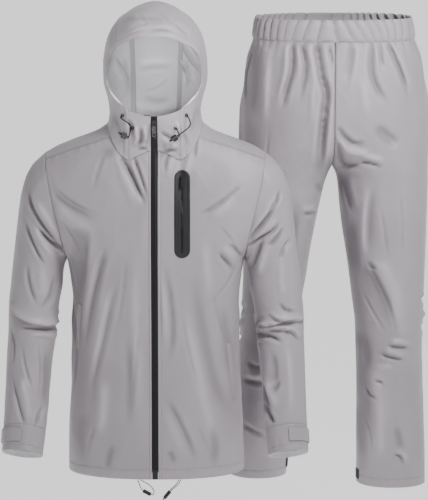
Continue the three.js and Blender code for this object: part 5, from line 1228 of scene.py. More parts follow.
def body_move(p, normals):
    x, z = p[..., 0], p[..., 2]
    front = fold_field(x, z, JACKET_FRONT, on_jacket)
    rear = fold_field(x, z, JACKET_BACK, on_jacket)
    facing = p[..., 1] < 0
    out = np.where(facing, front, rear) * away_weight(p, 0)
    armhole = np.abs(np.abs(x) - ARMHOLE.x(z)) + np.where((z < ARMPIT_Z) | (z > ARMHOLE_TOP_Z), 60, 0)
    out = out * mix(0.25, 1, smooth(armhole, 0, 14))
    out = out + near_noise(p) * mix(0.3, 1, smooth(armhole, 0, 20)) * away_weight(p, 0, 0, 12)
    out = out - 0.9 * bell(armhole, 2.0) + 0.6 * bell(armhole - 5, 3)
    collar = neck_distance(p)
    out = out * mix(0.35, 1, smooth(collar, 0, 16)) - 0.8 * bell(collar, 3.5)
    on_shoulder = facing & (np.abs(x) > 88) & (z > -80)
    yoke_line = np.where(on_shoulder, z - YOKE_SEAM.z(np.abs(x)), 99)
    pucker = 0.9 * np.sin(x / 3.3 + 2 * np.sin(x / 19)) * bell(yoke_line + 4, 6)
    out = out - 1.0 * bell(yoke_line, 2.0) + 0.6 * bell(yoke_line - 5, 3) + pucker
    out = out + hem_tunnel(z, x + 0.5 * p[..., 1], HEM_STITCH)
    zip_side = np.abs(x) - ZIP_HALF
    at_zip = facing * (z < NECK.z(0) + 4)
    out = out * mix(1, smooth(zip_side, -1, 12), at_zip * 0.8)
    out = out + at_zip * (0.9 * bell(zip_side - 2.2, 1.7) - 0.6 * bell(zip_side - 5.6, 1.3))
    moved = p.copy()
    moved[..., 1] += np.where(facing, -1, 1) * out
    beside = smooth(np.abs(x), 130, 165) * bell(p[..., 1], 60) * smooth(-z, 300, 350)
    flank = fold_field(p[..., 1] * np.sign(x), z, JACKET_SIDE, as_given) * beside
    moved[..., 0] += np.sign(x) * flank
    out = out + flank
    # Painted shade along the armhole, yoke and collar seams, and over the yoke above its seam on the front;
    # these terms only darken the colour and move nothing
    seams = bell(armhole, 1.6) + bell(yoke_line, 1.8) + bell(collar, 2.5)
    shaded = 1.1 * smooth(yoke_line, 0, 3) * on_shoulder
    return moved, out - 4.5 * seams - shaded


STEP_FINE = 4.0
STEP_BACK = 6.0

for who, side in (("right", -1), ("left", 1)):
    coarse = grid_of(lambda i, j: front_panel_point(side, i, j), FRONT_ROWS, FRONT_COLUMNS)
    lengths, widths = spans(coarse)
    p, r, c = refined(coarse, STEP_FINE, (21, lengths), (0, 2.2, 5.6, widths))
    cloth_piece(f"jacket_front_{who}", p, (side * 90, 0, -400), r, c, body_move)

coarse = grid_of(back_panel_point, BACK_ROWS, 2 * BACK_HALF)
lengths, widths = spans(coarse)
p, r, c = refined(coarse, STEP_BACK, (21, lengths), (0, widths))
cloth_piece("jacket_back", p, (0, 0, -400), r, c, body_move)

coarse = grid_of(yoke_point, 2 * YOKE_HALF, SEAM_COLUMNS)
lengths, widths = spans(coarse)
p, r, c = refined(coarse, STEP_FINE, (0, lengths), (0, widths))
cloth_piece("jacket_yoke", p, (0, 0, -170), r, c, body_move)


# Along the sleeve: where the cuff is sewn on and ends, and how far down it its own stitches are
CUFF_SEAM, CUFF_END, CUFF_STITCH, CUFF_STEP = 608, 668, 47, 3.0


def sleeve_move(side, cuff):
    rows = SLEEVE_RIGHT_FRONT if side < 0 else SLEEVE_LEFT_FRONT

    def move(p, normals):
        x, z = p[..., 0], p[..., 2]
        front = fold_field(x, z, rows, on_jacket)
        rear = fold_field(x, z, SLEEVE_BACK, on_jacket, side > 0)
        weight = smooth(-normals[..., 1], -0.3, 0.25)
        out = front * weight + rear * (1 - weight)
        s = r_s[:, None] + 0 * x
        out = out * mix(0.2, 1, smooth(s, 0, 16)) + near_noise(p + 40) * smooth(s, 0, 24) * 1.1
        out = out * mix(0.15, 1, smooth(np.abs(s - CUFF_SEAM), 0, 10))
        out = out - 0.9 * bell(s - CUFF_SEAM, 2.2) + 0.5 * bell(s - 614, 3)
        out = out - 0.7 * bell(s, 2.2)
        if cuff:
            ring = np.linspace(0, 2 * np.pi, p.shape[1], endpoint=False)[None, :]
            pucker = 0.5 * np.sin(9 * ring + 2 * np.sin(3 * ring)) * bell(s - 652, 16)
            out = out * 0.35 - 0.8 * bell(s - (CUFF_SEAM + CUFF_STITCH), 2) + pucker
        moved = p + normals * out[..., None]
        return moved, out
    return move


for who, side in (("right", -1), ("left", 1)):
    for cuff in (False, True):
        start, end = (CUFF_SEAM, CUFF_END) if cuff else (0, CUFF_SEAM)
        length = end - start
        tight = (0, length, CUFF_STITCH) if cuff else (0, length)
        r_s = start + fine_knots(length, CUFF_STEP if cuff else STEP_FINE - 0.4, tight)
        count = 124
        angles = np.linspace(0, 360, count, endpoint=False)
        angles = np.where(angles > 180, angles - 360, angles)
        p = sleeve_point(side, r_s[:, None], angles[None, :])
        core = (side * 282, -94, -650) if cuff else (side * 262, -5, -300)
        ring_c = np.linspace(0, 500, count, endpoint=False)
        name = f"cuff_{who}" if cuff else f"sleeve_{who}"
        cloth_piece(name, p, core, r_s, ring_c, sleeve_move(side, cuff), closed=True)


def hood_move(p, normals):
    x, z = p[..., 0], p[..., 2]
    front = fold_field(x, z, HOOD_FRONT, on_jacket)
    rear = fold_field(x, z, HOOD_BACK, on_jacket)
    weight = smooth(-p[..., 1], -15, 15)
    out = front * weight + rear * (1 - weight) + 0.8 * near_noise(p + 17)
    collar = neck_distance(p)
    out = out * mix(0.3, 1, smooth(collar, 0, 12)) + 2.0 * bell(collar, 5)
    moved = p + normals * out[..., None]
    return moved, out


def seam_groove(rows_near, columns_near, inner):
    """Wraps a move so that the seams listed, in millimetres along rows and columns, sink in, with painted
    shade along them.
    """
    def move(p, normals):
        moved, out = inner(p, normals)
        d = np.full(p.shape[:2], 99.0)
        for at in rows_near:
            d = np.minimum(d, np.abs(r[:, None] - at))
        for at in columns_near:
            d = np.minimum(d, np.abs(c[None, :] - at))
        dip = -0.8 * bell(d, 1.6) + 0.45 * bell(d - 4.5, 2.2)
        # The shading value gets twice the dip, so the seams are painted darker than their groove alone
        return moved + normals * dip[..., None], out + 2 * dip
    return move


def brim_roll(distance, inner):
    """A stitched casing along a free edge, for the drawcord or elastic."""
    def move(p, normals):
        moved, out = inner(p, normals)
        d = distance(p)
        swell = 1.3 * bell(d - 6, 4.5) - 0.8 * bell(d - 13, 1.8)
        return moved + normals * swell[..., None], out + swell
    return move


for who, side in (("right", -1), ("left", 1)):
    coarse = grid_of(lambda i, j: hood_side_point(side, i, j), SIDE_ROWS, SIDE_COLUMNS)
    lengths, widths = spans(coarse)
    p, r, c = refined(coarse, STEP_FINE - 0.4, (0, lengths), (0, 13, widths))
    face = brim_roll(lambda q: c[None, :] + 0 * q[..., 0], hood_move)
    cloth_piece(f"hood_side_{who}", p, HEAD, r, c, seam_groove((lengths,), (widths,), face))
    coarse = grid_of(lambda i, j: chin_point(side, i, j), COLLAR_ROWS, CHIN_COLUMNS)
    lengths, widths = spans(coarse)
    p, r, c = refined(coarse, 2.4, (0, lengths), (0, widths))
    cloth_piece(f"chin_{who}", p, HEAD, r, c, seam_groove((), (widths,), hood_move))

coarse = grid_of(centre_point, CENTRE_ROWS, 2 * CENTRE_HALF)
lengths, widths = spans(coarse)
p, r, c = refined(coarse, STEP_FINE - 0.4, (0, 13), (0, widths))
face = brim_roll(lambda q: r[:, None] + 0 * q[..., 0], hood_move)
cloth_piece("hood_centre", p, HEAD, r, c, seam_groove((), (0, widths), face))

# Trousers
GATHERS = 42
GATHER_WARP = np.random.default_rng(5).uniform(-1, 1, (6, 2))


def gather_phase(angle):
    """Uneven gathers round the waist: the angle in radians from straight in front."""
    warped = 0.5 * GATHERS * angle
    for k, (a, b) in enumerate(GATHER_WARP, 2):
        warped = warped + 1.5 * (a * np.sin(k * angle) + b * (np.cos(k * angle) - 1)) / k ** 0.4
    return warped


def gather_shape(angle, slant=0.0):
    phase = gather_phase(angle) + slant
    puff = np.abs(np.sin(phase)) ** 0.5
    size = 0.75 + 0.3 * np.sin(3 * angle + 1) + 0.25 * np.sin(7 * angle + 2)
    return size * (puff - 0.62)


def gather_valley_shade(angle, slant=0.0):
    """Painted shade along the valley between two gathers."""
    return np.exp(-(np.sin(gather_phase(angle) + slant) / 0.16) ** 2)


def waist_angle(p):
    return np.arctan2(p[..., 0] - TROUSER_X, -(p[..., 1] - TROUSER_Y) * 1.7)


TROUSER_HEM_STITCH = -796


def trouser_move(side):
    def move(p, normals):
        x, z = p[..., 0], p[..., 2]
        set_y = LEFT_SET.y(z) if side > 0 else RIGHT_SET.y(z)
        front = fold_field(x, z, TROUSER_FRONT, on_trousers)
        rear = fold_field(x, z, TROUSER_BACK, on_trousers)
        facing = p[..., 1] - TROUSER_Y - set_y < 0
        weight = away_weight(p, TROUSER_Y + set_y, 2, 24)
        out = np.where(facing, front, rear) * weight
        out = out + near_noise(p - 70) * 1.15 * away_weight(p, TROUSER_Y + set_y, 0, 14)
        depth_below = WAIST_SEAM_Z - z
        angle = waist_angle(p)
        fade = np.exp(-depth_below / (16 + 14 * np.sin(5 * angle) ** 2))
        out = out * smooth(depth_below, -4, 22) + 7.0 * gather_shape(angle) * fade
        middle = np.abs(x - TROUSER_X) + np.where(z < CROTCH_Z - 4, 60, 0)
        out = out * mix(0.3, 1, smooth(middle, 0, 12))
        out = out - 1.1 * bell(middle, 2.0) + 0.6 * bell(middle - 5, 2.5)
        hem = TROUSER_HEM_STITCH if side > 0 else CROTCH_Z + (TROUSER_HEM_STITCH - CROTCH_Z) * RIGHT_LEG_SHARE
        out = out + hem_tunnel(z, x + 0.4 * p[..., 1], hem, 0.9)
        moved = p.copy()
        moved[..., 1] += np.where(facing, -1, 1) * out * away_weight(p, TROUSER_Y + set_y, 0, 10)
        behind = p[..., 1] - TROUSER_Y - set_y
        beside = smooth(side * (x - TROUSER_X), 110, 150) * bell(behind, 50)
        flank = fold_field(behind, z + (0 if side > 0 else 24), TROUSER_SIDE, as_given) * beside
        moved[..., 0] += side * flank
        out = out + flank
        # Painted shade along the middle seam and in the valleys between the waist gathers; these terms only
        # darken the colour
        painted_shade_lines = 4 * bell(middle, 1.5) + 5 * gather_valley_shade(angle) * np.exp(-depth_below / 13)
        return waist_rise(moved), out - painted_shade_lines
    return move


for who, side in (("right", -1), ("left", 1)):
    for back_half in (False, True):
        top, bottom = WAIST_SEAM_Z, -816
        length = top - bottom
        step = STEP_BACK if back_half else STEP_FINE + 0.3
        r = fine_knots(length, step, (0, length, top - TROUSER_HEM_STITCH))
        z = top - r
        if side < 0:
            z = np.where(z < CROTCH_Z, CROTCH_Z + (z - CROTCH_Z) * RIGHT_LEG_SHARE, z)
        columns = 50 if back_half else 76
        u = np.linspace(0, 1, columns + 1)
        u = np.unique(np.round(np.concatenate([u, [0.006, 0.014, 0.024, 0.976, 0.986, 0.994]]), 5))
        p = leg_point(side, z[:, None], u[None, :], back_half)
        across = side * (p[..., 0] - TROUSER_X)
        p[..., 0] = np.where(across < 0.1, TROUSER_X + side * 0.1, p[..., 0])
        name = f"trouser_{'back' if back_half else 'front'}_{who}"
        core = (TROUSER_X + side * 130, TROUSER_Y, -316)
        cloth_piece(name, p, core, r, u * 330, trouser_move(side), inside=CLOTH)

BAND_COLUMNS = 504
band_angles = np.linspace(0, 2 * np.pi, BAND_COLUMNS, endpoint=False)
band_z = np.array([184.2, 185.2, 186.6, 189, 193, 198, 203, 208, 213, 218, 222, 225.5, 228, 229.8, 231])
s, cosine = np.sin(band_angles)[None, :], np.cos(band_angles)[None, :]
z = band_z[:, None]
power = 2 / LEFT_LEG.power(z)
narrowing = np.where(s < 0, RIGHT_SHARE.share(z), 1)
half_x, front_y, back_y = LEFT_LEG.outer(z) * narrowing, LEFT_LEG.front(z), LEFT_LEG.back(z)
base = pt(TROUSER_X + half_x * power_of(s, power),
          TROUSER_Y - np.where(cosine > 0, front_y, back_y) * power_of(cosine, power), z)
way = base - pt(TROUSER_X, TROUSER_Y, z)
way = unit(way)
angle = waist_angle(base)
height = smooth(z, 184, 192) * 0.75 + 0.25
height = height * mix(1, 1.1, smooth(z, 222, 231))
slant = (1.0 * np.sin(2 * angle + 0.6) + 0.8 * np.sin(5 * angle)) * (z - 205) / 24
out = BAND_ROWS.out(z) + 7.0 * gather_shape(angle, slant) * height
out = out - 1.0 * bell(z - 185, 1.6) - 0.7 * bell(z - 226.5, 1.5) + 0.6
band = base + way * out[..., None]
band[..., 2] += 2.6 * gather_shape(angle, slant) * smooth(z, 218, 231)
band = waist_rise(band)
# The band's shading value: painted light over the whole band, a little lighter than plain cloth, with painted
# shade in the valleys between the gathers
cloth_piece("waistband", band, (TROUSER_X, TROUSER_Y, 200), band_z, band_angles * 150,
            lambda p, n: (p, 1 - 8 * np.broadcast_to(gather_valley_shade(angle, slant), p.shape[:2]) * height),
            closed=True, inside=CLOTH)


# ---------------------------------------------------------------- what lies on the cloth
TREES = {}


def tree_of(name):
    if name not in TREES:
        piece = PIECES[name]
        corners = [Vector(q) for q in piece["points"].reshape(-1, 3)]
        TREES[name] = BVHTree.FromPolygons(corners, piece["faces"])
    return TREES[name]


def cast(name, x, z, rear):
    """Where a level ray from in front, or from behind, meets a piece."""
    way = -1 if rear else 1
    return tree_of(name).ray_cast(Vector((x, -2000 * way, z)), Vector((0, way, 0)))[:2]


def seat(name, x, z, rear=False):
    """The point of a piece seen from the front, or from behind, at x, z, and the way out from it."""
    spot, normal = cast(name, x, z, rear)
    if spot is None:
        spot, normal, _, _ = tree_of(name).find_nearest(Vector((x, 300 if rear else -100, z)))
    if (normal.y > 0) != rear:
        normal = -normal
    return np.array(spot), np.array(normal)


def soft_normal(name, x, z, reach=2.5, rear=False):
    total = sum(seat(name, x + dx, z + dz, rear)[1] for dx in (-reach, 0, reach) for dz in (-reach, 0, reach))
    return total / np.linalg.norm(total)


def slab(name, inner, outer, materials):
    """A closed body between two grids of points."""
    rows, columns = inner.shape[:2]
    count = rows * columns
    points = np.concatenate([outer.reshape(-1, 3), inner.reshape(-1, 3)])
    n = grid_normals(outer)[rows // 2, columns // 2]
    up = (outer - inner)[rows // 2, columns // 2]
    flip = np.dot(n, up) < 0
    faces = grid_faces(rows, columns, False, flip)
    faces += [tuple(k + count for k in reversed(f)) for f in faces]
    rim = [j for j in range(columns)] + [i * columns + columns - 1 for i in range(1, rows)]
    rim += [(rows - 1) * columns + j for j in range(columns - 2, -1, -1)]
    rim += [i * columns for i in range(rows - 2, 0, -1)]
    for a, b in zip(rim, rim[1:] + rim[:1]):
        faces.append((a + count, b + count, b, a) if not flip else (a, b, b + count, a + count))
    return mesh_object(name, points, faces, materials)


def dress(o, node_name, body=BODY_NAME):
    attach(o, body)
    if node_name:
        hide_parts(node_name)
    return o


def rounded(o, width, segments=2):
    b = o.modifiers.new("round", "BEVEL")
    b.width = width * MM
    b.segments = segments
    b.limit_method = "ANGLE"
    b.angle_limit = math.radians(40)
    b.harden_normals = False
    return o


# Zip: the two coated tape edges meet over the coil, in a slit with the teeth showing
zip_rows = []
for i in range(FRONT_ROWS + 1):
    zip_rows.append([front_panel_point(-1, i, 0), front_panel_point(1, i, 0)])
for k in range(1, 4):
    zip_rows.append([zip_edge(-1, k / COLLAR_ROWS), zip_edge(1, k / COLLAR_ROWS)])
zip_rows = np.array(zip_rows)
zip_knots = knots_of(zip_rows, 0)
zip_length = zip_knots[-1]
zip_at = fine_knots(zip_length - 15, 3.0) + 15
zip_edges = spline_read(zip_rows, zip_at, zip_knots)
ZIP_PROFILE = [(-7.4, -0.6), (-6.4, 0.15), (-5.2, 0.25), (-3.4, 0.45), (-2.4, 1.0), (-1.3, 1.35), (-0.5, 1.2),
               (-0.25, 0.2), (0.25, 0.2), (0.5, 1.2), (1.3, 1.35), (2.4, 1.0), (3.4, 0.45), (5.2, 0.25),
               (6.4, 0.15), (7.4, -0.6)]
across = np.array([q[0] for q in ZIP_PROFILE])
lift = np.array([q[1] for q in ZIP_PROFILE])
edge, other_edge = zip_edges[:, 0], zip_edges[:, 1]
line = edge[:, None] + (other_edge - edge)[:, None] * (0.5 + across / 14.6)[None, :, None]
zip_normal = outward_normals(line, np.array([0, 0, -300.0]))
outer = line + zip_normal * (lift[None, :, None] - 0.1)
inner = line - zip_normal * 0.9
dress(slab("zip_tape", inner, outer, [TAPE]), "zip")

BOX_FACES = [(0, 1, 3, 2), (4, 6, 7, 5), (0, 4, 5, 1), (2, 3, 7, 6), (1, 5, 7, 3), (0, 2, 6, 4)]


def add_tooth(at, side_way, up, n, across_at, half, out_at):
    b = len(tooth_points)
    for dx in across_at:
        for du in (-half, half):
            for dn in out_at:
                tooth_points.append(at + side_way * dx + up * du + n * dn)
    tooth_faces.extend(tuple(b + q for q in face) for face in BOX_FACES)


tooth_at = np.arange(19, zip_length - 24, 1.55)
spots = spline_read(zip_rows.mean(axis=1), tooth_at, zip_knots)
turn = np.gradient(spots, axis=0)
turn = unit(turn)
tooth_points, tooth_faces = [], []
for k, (at, up) in enumerate(zip(spots, turn)):
    out_way = np.cross([1, 0, 0], up)
    out_way = out_way if out_way[1] < 0 else -out_way
    x0 = -0.75 if k % 2 else -0.25
    add_tooth(at, np.array([1, 0, 0]), up, out_way, (x0, x0 + 1.0), 0.42, (0.2, 1.05))
teeth = mesh_object("zip_teeth", tooth_points, tooth_faces, [COIL], smooth_shade=False)
dress(teeth, None)


# Chest pocket: a welded patch with round ends, a raised rim and a closed zip along its middle
POCKET_X, POCKET_HALF, POCKET_TOP, POCKET_BOTTOM = 58.5, 16.5, -80, -263


def stadium(half, top, bottom, rings, steps_round=10, steps_long=30):
    """The outline of a bar with round ends, with rings of it shrinking to its middle line."""
    out = []
    for shrink in rings:
        h = max(half - shrink, 0.05)
        outline = []
        for k in range(steps_round + 1):
            a = math.pi * k / steps_round
            outline.append((h * math.cos(a), top - half + h * math.sin(a)))
        for k in range(1, steps_long):
            outline.append((-h, mix(top - half, bottom + half, k / steps_long)))
        for k in range(steps_round + 1):
            a = math.pi * (1 + k / steps_round)
            outline.append((h * math.cos(a), bottom + half + h * math.sin(a)))
        for k in range(1, steps_long):
            outline.append((h, mix(bottom + half, top - half, k / steps_long)))
        out.append(outline)
    return out


def laid(on, spots, lift_at):
    """Points over a piece: each x, z with its own lift."""
    out = []
    for (x, z), up in zip(spots, lift_at):
        at, _ = seat(on, x, z)
        out.append(at + soft_normal(on, x, z) * up)
    return out


rings = [0, 0.5, 1.2, 4.6, 5.4, 6.4, 9.5, 13.2, 14.4]
lifts = [0.5, 1.5, 1.75, 1.75, 1.35, 1.3, 1.35, 1.3, 0.9]
outlines = stadium(POCKET_HALF, POCKET_TOP, POCKET_BOTTOM, rings)
ring_count = len(outlines[0])
points = []
for outline, up in zip(outlines, lifts):
    points += laid("jacket_front_left", [(POCKET_X + x, z) for x, z in outline], [up] * ring_count)
faces = []
for k in range(len(rings) - 1):
    for j in range(ring_count):
        a, b = k * ring_count + j, k * ring_count + (j + 1) % ring_count
        faces.append((a, b, b + ring_count, a + ring_count))
last = (len(rings) - 1) * ring_count
faces.append(tuple(last + j for j in range(ring_count)))
patch = mesh_object("pocket_patch", points, faces, [FILM])
solid = patch.modifiers.new("thickness", "SOLIDIFY")
solid.thickness = 0.6 * MM
solid.offset = -1
dress(patch, "pocket_panel")

pocket_z = np.arange(-94, -250, -1.5)
tooth_points, tooth_faces = [], []
for k, z in enumerate(pocket_z):
    at, _ = seat("jacket_front_left", POCKET_X, z)
    n = soft_normal("jacket_front_left", POCKET_X, z)
    side_way = np.cross(n, [0, 0, 1])
    side_way = side_way / np.linalg.norm(side_way)
    up = np.cross(side_way, n)
    x0 = -1.9 if k % 2 else -0.6
    add_tooth(at, side_way, up, n, (x0, x0 + 2.5), 0.45, (1.3, 2.5))
teeth = mesh_object("pocket_teeth", tooth_points, tooth_faces, [COIL], smooth_shade=False)
dress(teeth, "pocket_zip")

# Hand pocket welts
WELTS = {"right": ((-165, -372), (-172, -470)), "left": ((160, -455), (173, -575))}
for who, (top, bottom) in WELTS.items():
    inward = -1 if who == "left" else 1
    rows, columns = 34, 6
    inner = np.zeros((rows, columns, 3))
    outer = np.zeros((rows, columns, 3))
    for i in range(rows):
        for j in range(columns):
            x = mix(top[0], bottom[0], i / (rows - 1)) + inward * 9 * j / (columns - 1)
            z = mix(top[1], bottom[1], i / (rows - 1))
            at, _ = seat(f"jacket_front_{who}", x, z)
            n = soft_normal(f"jacket_front_{who}", x, z)
            inner[i, j] = at + n * 0.1
            outer[i, j] = at + n * (1.1 if 0 < j < columns - 1 else 0.8)
    dress(rounded(slab(f"welt_{who}", inner, outer, [CLOTH]), 0.35), f"hand_pocket_{who}")

# Cuff straps, which lie on the outside of each cuff
CUFF_LENGTH = CUFF_END - CUFF_SEAM
CUFF_ROWS = fine_knots(CUFF_LENGTH, CUFF_STEP, (0, CUFF_LENGTH, CUFF_STITCH))
for who in ("right", "left"):
    piece = PIECES[f"cuff_{who}"]
    count = piece["points"].shape[1]
    chosen = [i for i, q in enumerate(CUFF_ROWS) if 8 <= q <= 39]
    ring = [k % count for k in range(round(-48 / 360 * count), round(88 / 360 * count) + 1)]
    base = piece["points"][np.ix_(chosen, ring)]
    n = piece["normals"][np.ix_(chosen, ring)]
    strap = slab(f"strap_{who}", base + n * 0.35, base + n * 3.0, [CLOTH])
    dress(rounded(strap, 0.8), f"cuff_strap_{who}")

# Hook-and-loop tabs inside the hems
HEM_TABS = {"left": (-786, -808), "right": (-764, -786)}
for who, (top, bottom) in HEM_TABS.items():
    side = 1 if who == "left" else -1
    zz = np.linspace(top, bottom, 9)[:, None]
    uu = np.linspace(0.02, 0.115, 14)[None, :]
    base = waist_rise(leg_point(side, zz, uu, False))
    n = outward_normals(base, np.array([TROUSER_X + side * 140, TROUSER_Y, top], float))
    tab = slab(f"tab_{who}", base + n * 0.7, base + n * 2.1, [TAPE])
    dress(rounded(tab, 0.4), f"hem_tab_{who}")

# Hard pieces keep their solids, with rounded edges
HARD = {"zip_box": 0.5, "zip_slider": 0.35, "zip_pull": 0.3, "pocket_slider": 0.3, "pocket_pull": 0.25,
        "hood_lock_right": 0.8, "hood_lock_left": 0.8, "hem_lock_right": 0.6, "hem_lock_left": 0.6,
        "eyelet_upper_right": 0.25, "eyelet_lower_right": 0.25, "eyelet_upper_left": 0.25,
        "eyelet_lower_left": 0.25}
for name, width in HARD.items():
    o = bpy.data.objects[name]
    if not o.data.materials:
        o.data.materials.append(PLASTIC)
    for k in range(len(o.material_slots)):
        o.material_slots[k].material = PLASTIC
    rounded(o, width, 3)


# ---------------------------------------------------------------- stitching and seam tape
STITCHES = {"points": [], "faces": []}
STITCH_FACES = [(0, 3, 2), (0, 4, 3), (0, 2, 4), (2, 3, 6, 5), (3, 4, 7, 6), (4, 2, 5, 7),
                (1, 5, 6), (1, 6, 7), (1, 7, 5)]
STITCH_LIFT = 0.12


def stitch_line(line, normals, length=2.6, gap=1.0, radius=0.28):
    """Small raised stitches along a line on the cloth."""
    line, normals = np.asarray(line), np.asarray(normals)
    steps = np.concatenate([[0], np.cumsum(np.linalg.norm(np.diff(line, axis=0), axis=1))])
    starts = np.arange(0, steps[-1] - length, length + gap)
    for s0 in starts:
        a = np.array([np.interp(s0, steps, line[:, k]) for k in range(3)])
        b = np.array([np.interp(s0 + length, steps, line[:, k]) for k in range(3)])
        n = np.array([np.interp(s0 + length / 2, steps, normals[:, k]) for k in range(3)])
        n = n / np.linalg.norm(n)
        along = b - a
        side_way = np.cross(n, along)
        side_way = side_way / max(np.linalg.norm(side_way), 1e-9)
        base = len(STITCHES["points"])
        mid0, mid1 = a + along * 0.22, a + along * 0.78
        STITCHES["points"] += [a - n * 0.1, b - n * 0.1]
        for q in (mid0, mid1):
            STITCHES["points"] += [q + side_way * radius, q + n * radius * 1.3, q - side_way * radius]
        STITCHES["faces"] += [tuple(base + q for q in face) for face in STITCH_FACES]


def stitch_cloth(piece, place, *length):
    """Stitches through the points of a cloth that place picks."""
    normals = piece["normals"][place]
    stitch_line(piece["points"][place] + normals * STITCH_LIFT, normals, *length)


def level_stitches(name, z, step=2.0, from_x=None, to_x=None, rear=False):
    xs = np.arange(from_x, to_x, step)
    line, normals = [], []
    for x in xs:
        spot, normal = cast(name, x, z, rear)
        if spot is not None:
            n = np.array(normal)
            n = n if (n[1] > 0) == rear else -n
            line.append(np.array(spot) + n * 0.1)
            normals.append(n)
    if len(line) > 3:
        stitch_line(line, normals)


level_stitches("jacket_front_right", HEM_STITCH, 2.5, -190, -8)
level_stitches("jacket_front_left", HEM_STITCH, 2.5, 8, 190)
level_stitches("jacket_back", HEM_STITCH, 2.5, -190, 190, True)
level_stitches("trouser_front_left", TROUSER_HEM_STITCH, 2.5, 445, 606)
level_stitches("trouser_back_left", TROUSER_HEM_STITCH, 2.5, 445, 606, True)
right_hem = CROTCH_Z + (TROUSER_HEM_STITCH - CROTCH_Z) * RIGHT_LEG_SHARE
level_stitches("trouser_front_right", right_hem, 2.5, 158, 294)
level_stitches("trouser_back_right", right_hem, 2.5, 158, 294, True)
for who in ("right", "left"):
    front = PIECES[f"jacket_front_{who}"]
    columns = front["points"].shape[1]
    # along the zip, and along the yoke and armhole seams
    stitch_cloth(front, np.s_[:, 4])
    stitch_cloth(front, np.s_[-4, round(columns * 0.46):])
    cuff = PIECES[f"cuff_{who}"]
    for at in (4, CUFF_STITCH):
        k = int(np.argmin(np.abs(CUFF_ROWS - at)))
        ring = list(range(cuff["points"].shape[1])) + [0]
        stitch_cloth(cuff, np.s_[k, ring])
    stitch_cloth(PIECES[f"hood_side_{who}"], np.s_[8:, 5])
    welt_top, welt_bottom = WELTS[who]
    for away in (-2.0, 11.0):
        inward = -1 if who == "left" else 1
        line, normals = [], []
        for k in range(40):
            x = mix(welt_top[0], welt_bottom[0], k / 39) + inward * away
            z = mix(welt_top[1], welt_bottom[1], k / 39)
            at, n = seat(f"jacket_front_{who}", x, z)
            line.append(at + n * STITCH_LIFT)
            normals.append(n)
        stitch_line(line, normals)
for k in (3, 11):
    stitch_cloth(PIECES["waistband"], np.s_[k, list(range(BAND_COLUMNS)) + [0]], 2.2)
stitch_cloth(PIECES["jacket_yoke"], np.s_[:, -4])
thread = mesh_object("stitching", STITCHES["points"], STITCHES["faces"], [THREAD])
dress(thread, None)

# Seam tape inside the hood, with small gathers near the brim
for who, side in (("right", -1), ("left", 1)):
    seam_u = np.linspace(0.015, 0.99, 130)
    seam = np.array([centre_seam(side, u) for u in seam_u])
    inward = HEAD - seam
    inward = unit(inward)
    forward = np.gradient(seam, axis=0)
    forward = unit(forward)
    across_way = np.cross(forward, inward)
    across_way = unit(across_way)
    lengths = np.concatenate([[0], np.cumsum(np.linalg.norm(np.diff(seam, axis=0), axis=1))])
    columns = np.linspace(-1, 1, 7)
    ladder = bell(lengths - 22, 15) * np.abs(np.sin(lengths / 2.4)) * 1.8
    grid = (seam[:, None] + across_way[:, None] * (5.5 * columns[None, :, None])
            + inward[:, None] * (3.1 + ladder[:, None] * (1 - 0.6 * columns[None, :] ** 2))[..., None])
    thick = inward[:, None] * 0.5
    thinning = 1 - 0.7 * np.abs(columns)[None, :, None] ** 6
    tape = slab(f"hood_seam_tape_{who}", grid - thick, grid + thick * thinning, [SEAM_TAPE])
    dress(tape, None)

# The black edge of the inner wind guard that shows at the top of the collar, beside the zip
guard = [chin_top(-1, mix(0.3, 0.02, k / 12)) + np.array([0.0, -1.5, 0.7]) for k in range(13)]
guard_object = tube("collar_binding", np.array(guard) * MM, 0.9, TAPE)
dress(guard_object, None)


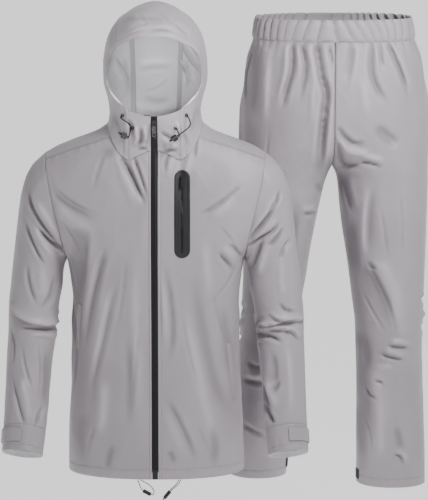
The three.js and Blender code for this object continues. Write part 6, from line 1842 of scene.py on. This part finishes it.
# ---------------------------------------------------------------- floor and light
FLOOR_Z = -1.45
REACH = 400000
CORNERS = ((-REACH, -REACH), (REACH, -REACH), (REACH, REACH), (-REACH, REACH))
stage_points = [(x, y, FLOOR_Z * 1000) for x, y in CORNERS]
stage_faces = [(0, 1, 2, 3)]
stage_material, stage_tree, stage_shader = new_material("pale_floor")
stage_noise = node(stage_tree, "ShaderNodeTexNoise", Scale=3.0)
stage_tree.links.new(
    mixed(stage_tree, stage_noise.outputs["Fac"], (0.90, 0.90, 0.90, 1), (0.94, 0.94, 0.94, 1)),
    stage_shader.inputs["Base Color"])
set_inputs(stage_shader, {"Roughness": 0.9, "Emission Color": (1, 1, 1, 1), "Emission Strength": 0.95})
stage = mesh_object("floor", stage_points, stage_faces, [stage_material])

# The studio is brighter behind the garment than in front of it
world = bpy.data.worlds.new("world")
world.use_nodes = True
sky = world.node_tree
direction = sky.nodes.new("ShaderNodeTexCoord")
split = sky.nodes.new("ShaderNodeSeparateXYZ")
sky.links.new(direction.outputs["Generated"], split.inputs[0])
bright = sky.nodes.new("ShaderNodeMapRange")
set_inputs(bright, {"From Min": -0.2, "From Max": 0.5, "To Min": 0.05, "To Max": 0.7})
sky.links.new(split.outputs["Y"], bright.inputs["Value"])
sky.nodes["Background"].inputs["Color"].default_value = (1, 1, 1, 1)
sky.links.new(bright.outputs[0], sky.nodes["Background"].inputs["Strength"])
bpy.context.scene.world = world


def area_light(name, at, look, size, power, size_y=None):
    data = bpy.data.lights.new(name, "AREA")
    data.shape = "RECTANGLE"
    data.size, data.size_y = size, size_y or size
    data.energy = power
    o = bpy.data.objects.new(name, data)
    o.location = at
    o.rotation_euler = (Vector(look) - Vector(at)).to_track_quat("-Z", "Y").to_euler()
    bpy.context.collection.objects.link(o)
    return o


area_light("key", (0.85, -1.0, 1.0), (0.1, 0, -0.1), 0.55, 42)
area_light("fill", (-2.4, -1.5, 0.5), (0.1, 0, -0.3), 0.9, 9)
hood_light = bpy.data.lights.new("hood", "SPOT")
hood_light.energy = 240
hood_light.spot_size = math.radians(7)
hood_light.spot_blend = 0.8
hood_light.shadow_soft_size = 0.15
hood_lamp = bpy.data.objects.new("hood", hood_light)
hood_lamp.location = (0.0, -2.3, 0.14)
hood_lamp.rotation_euler = (Vector((0, 0, 0.112)) - hood_lamp.location).to_track_quat("-Z", "Y").to_euler()
bpy.context.collection.objects.link(hood_lamp)
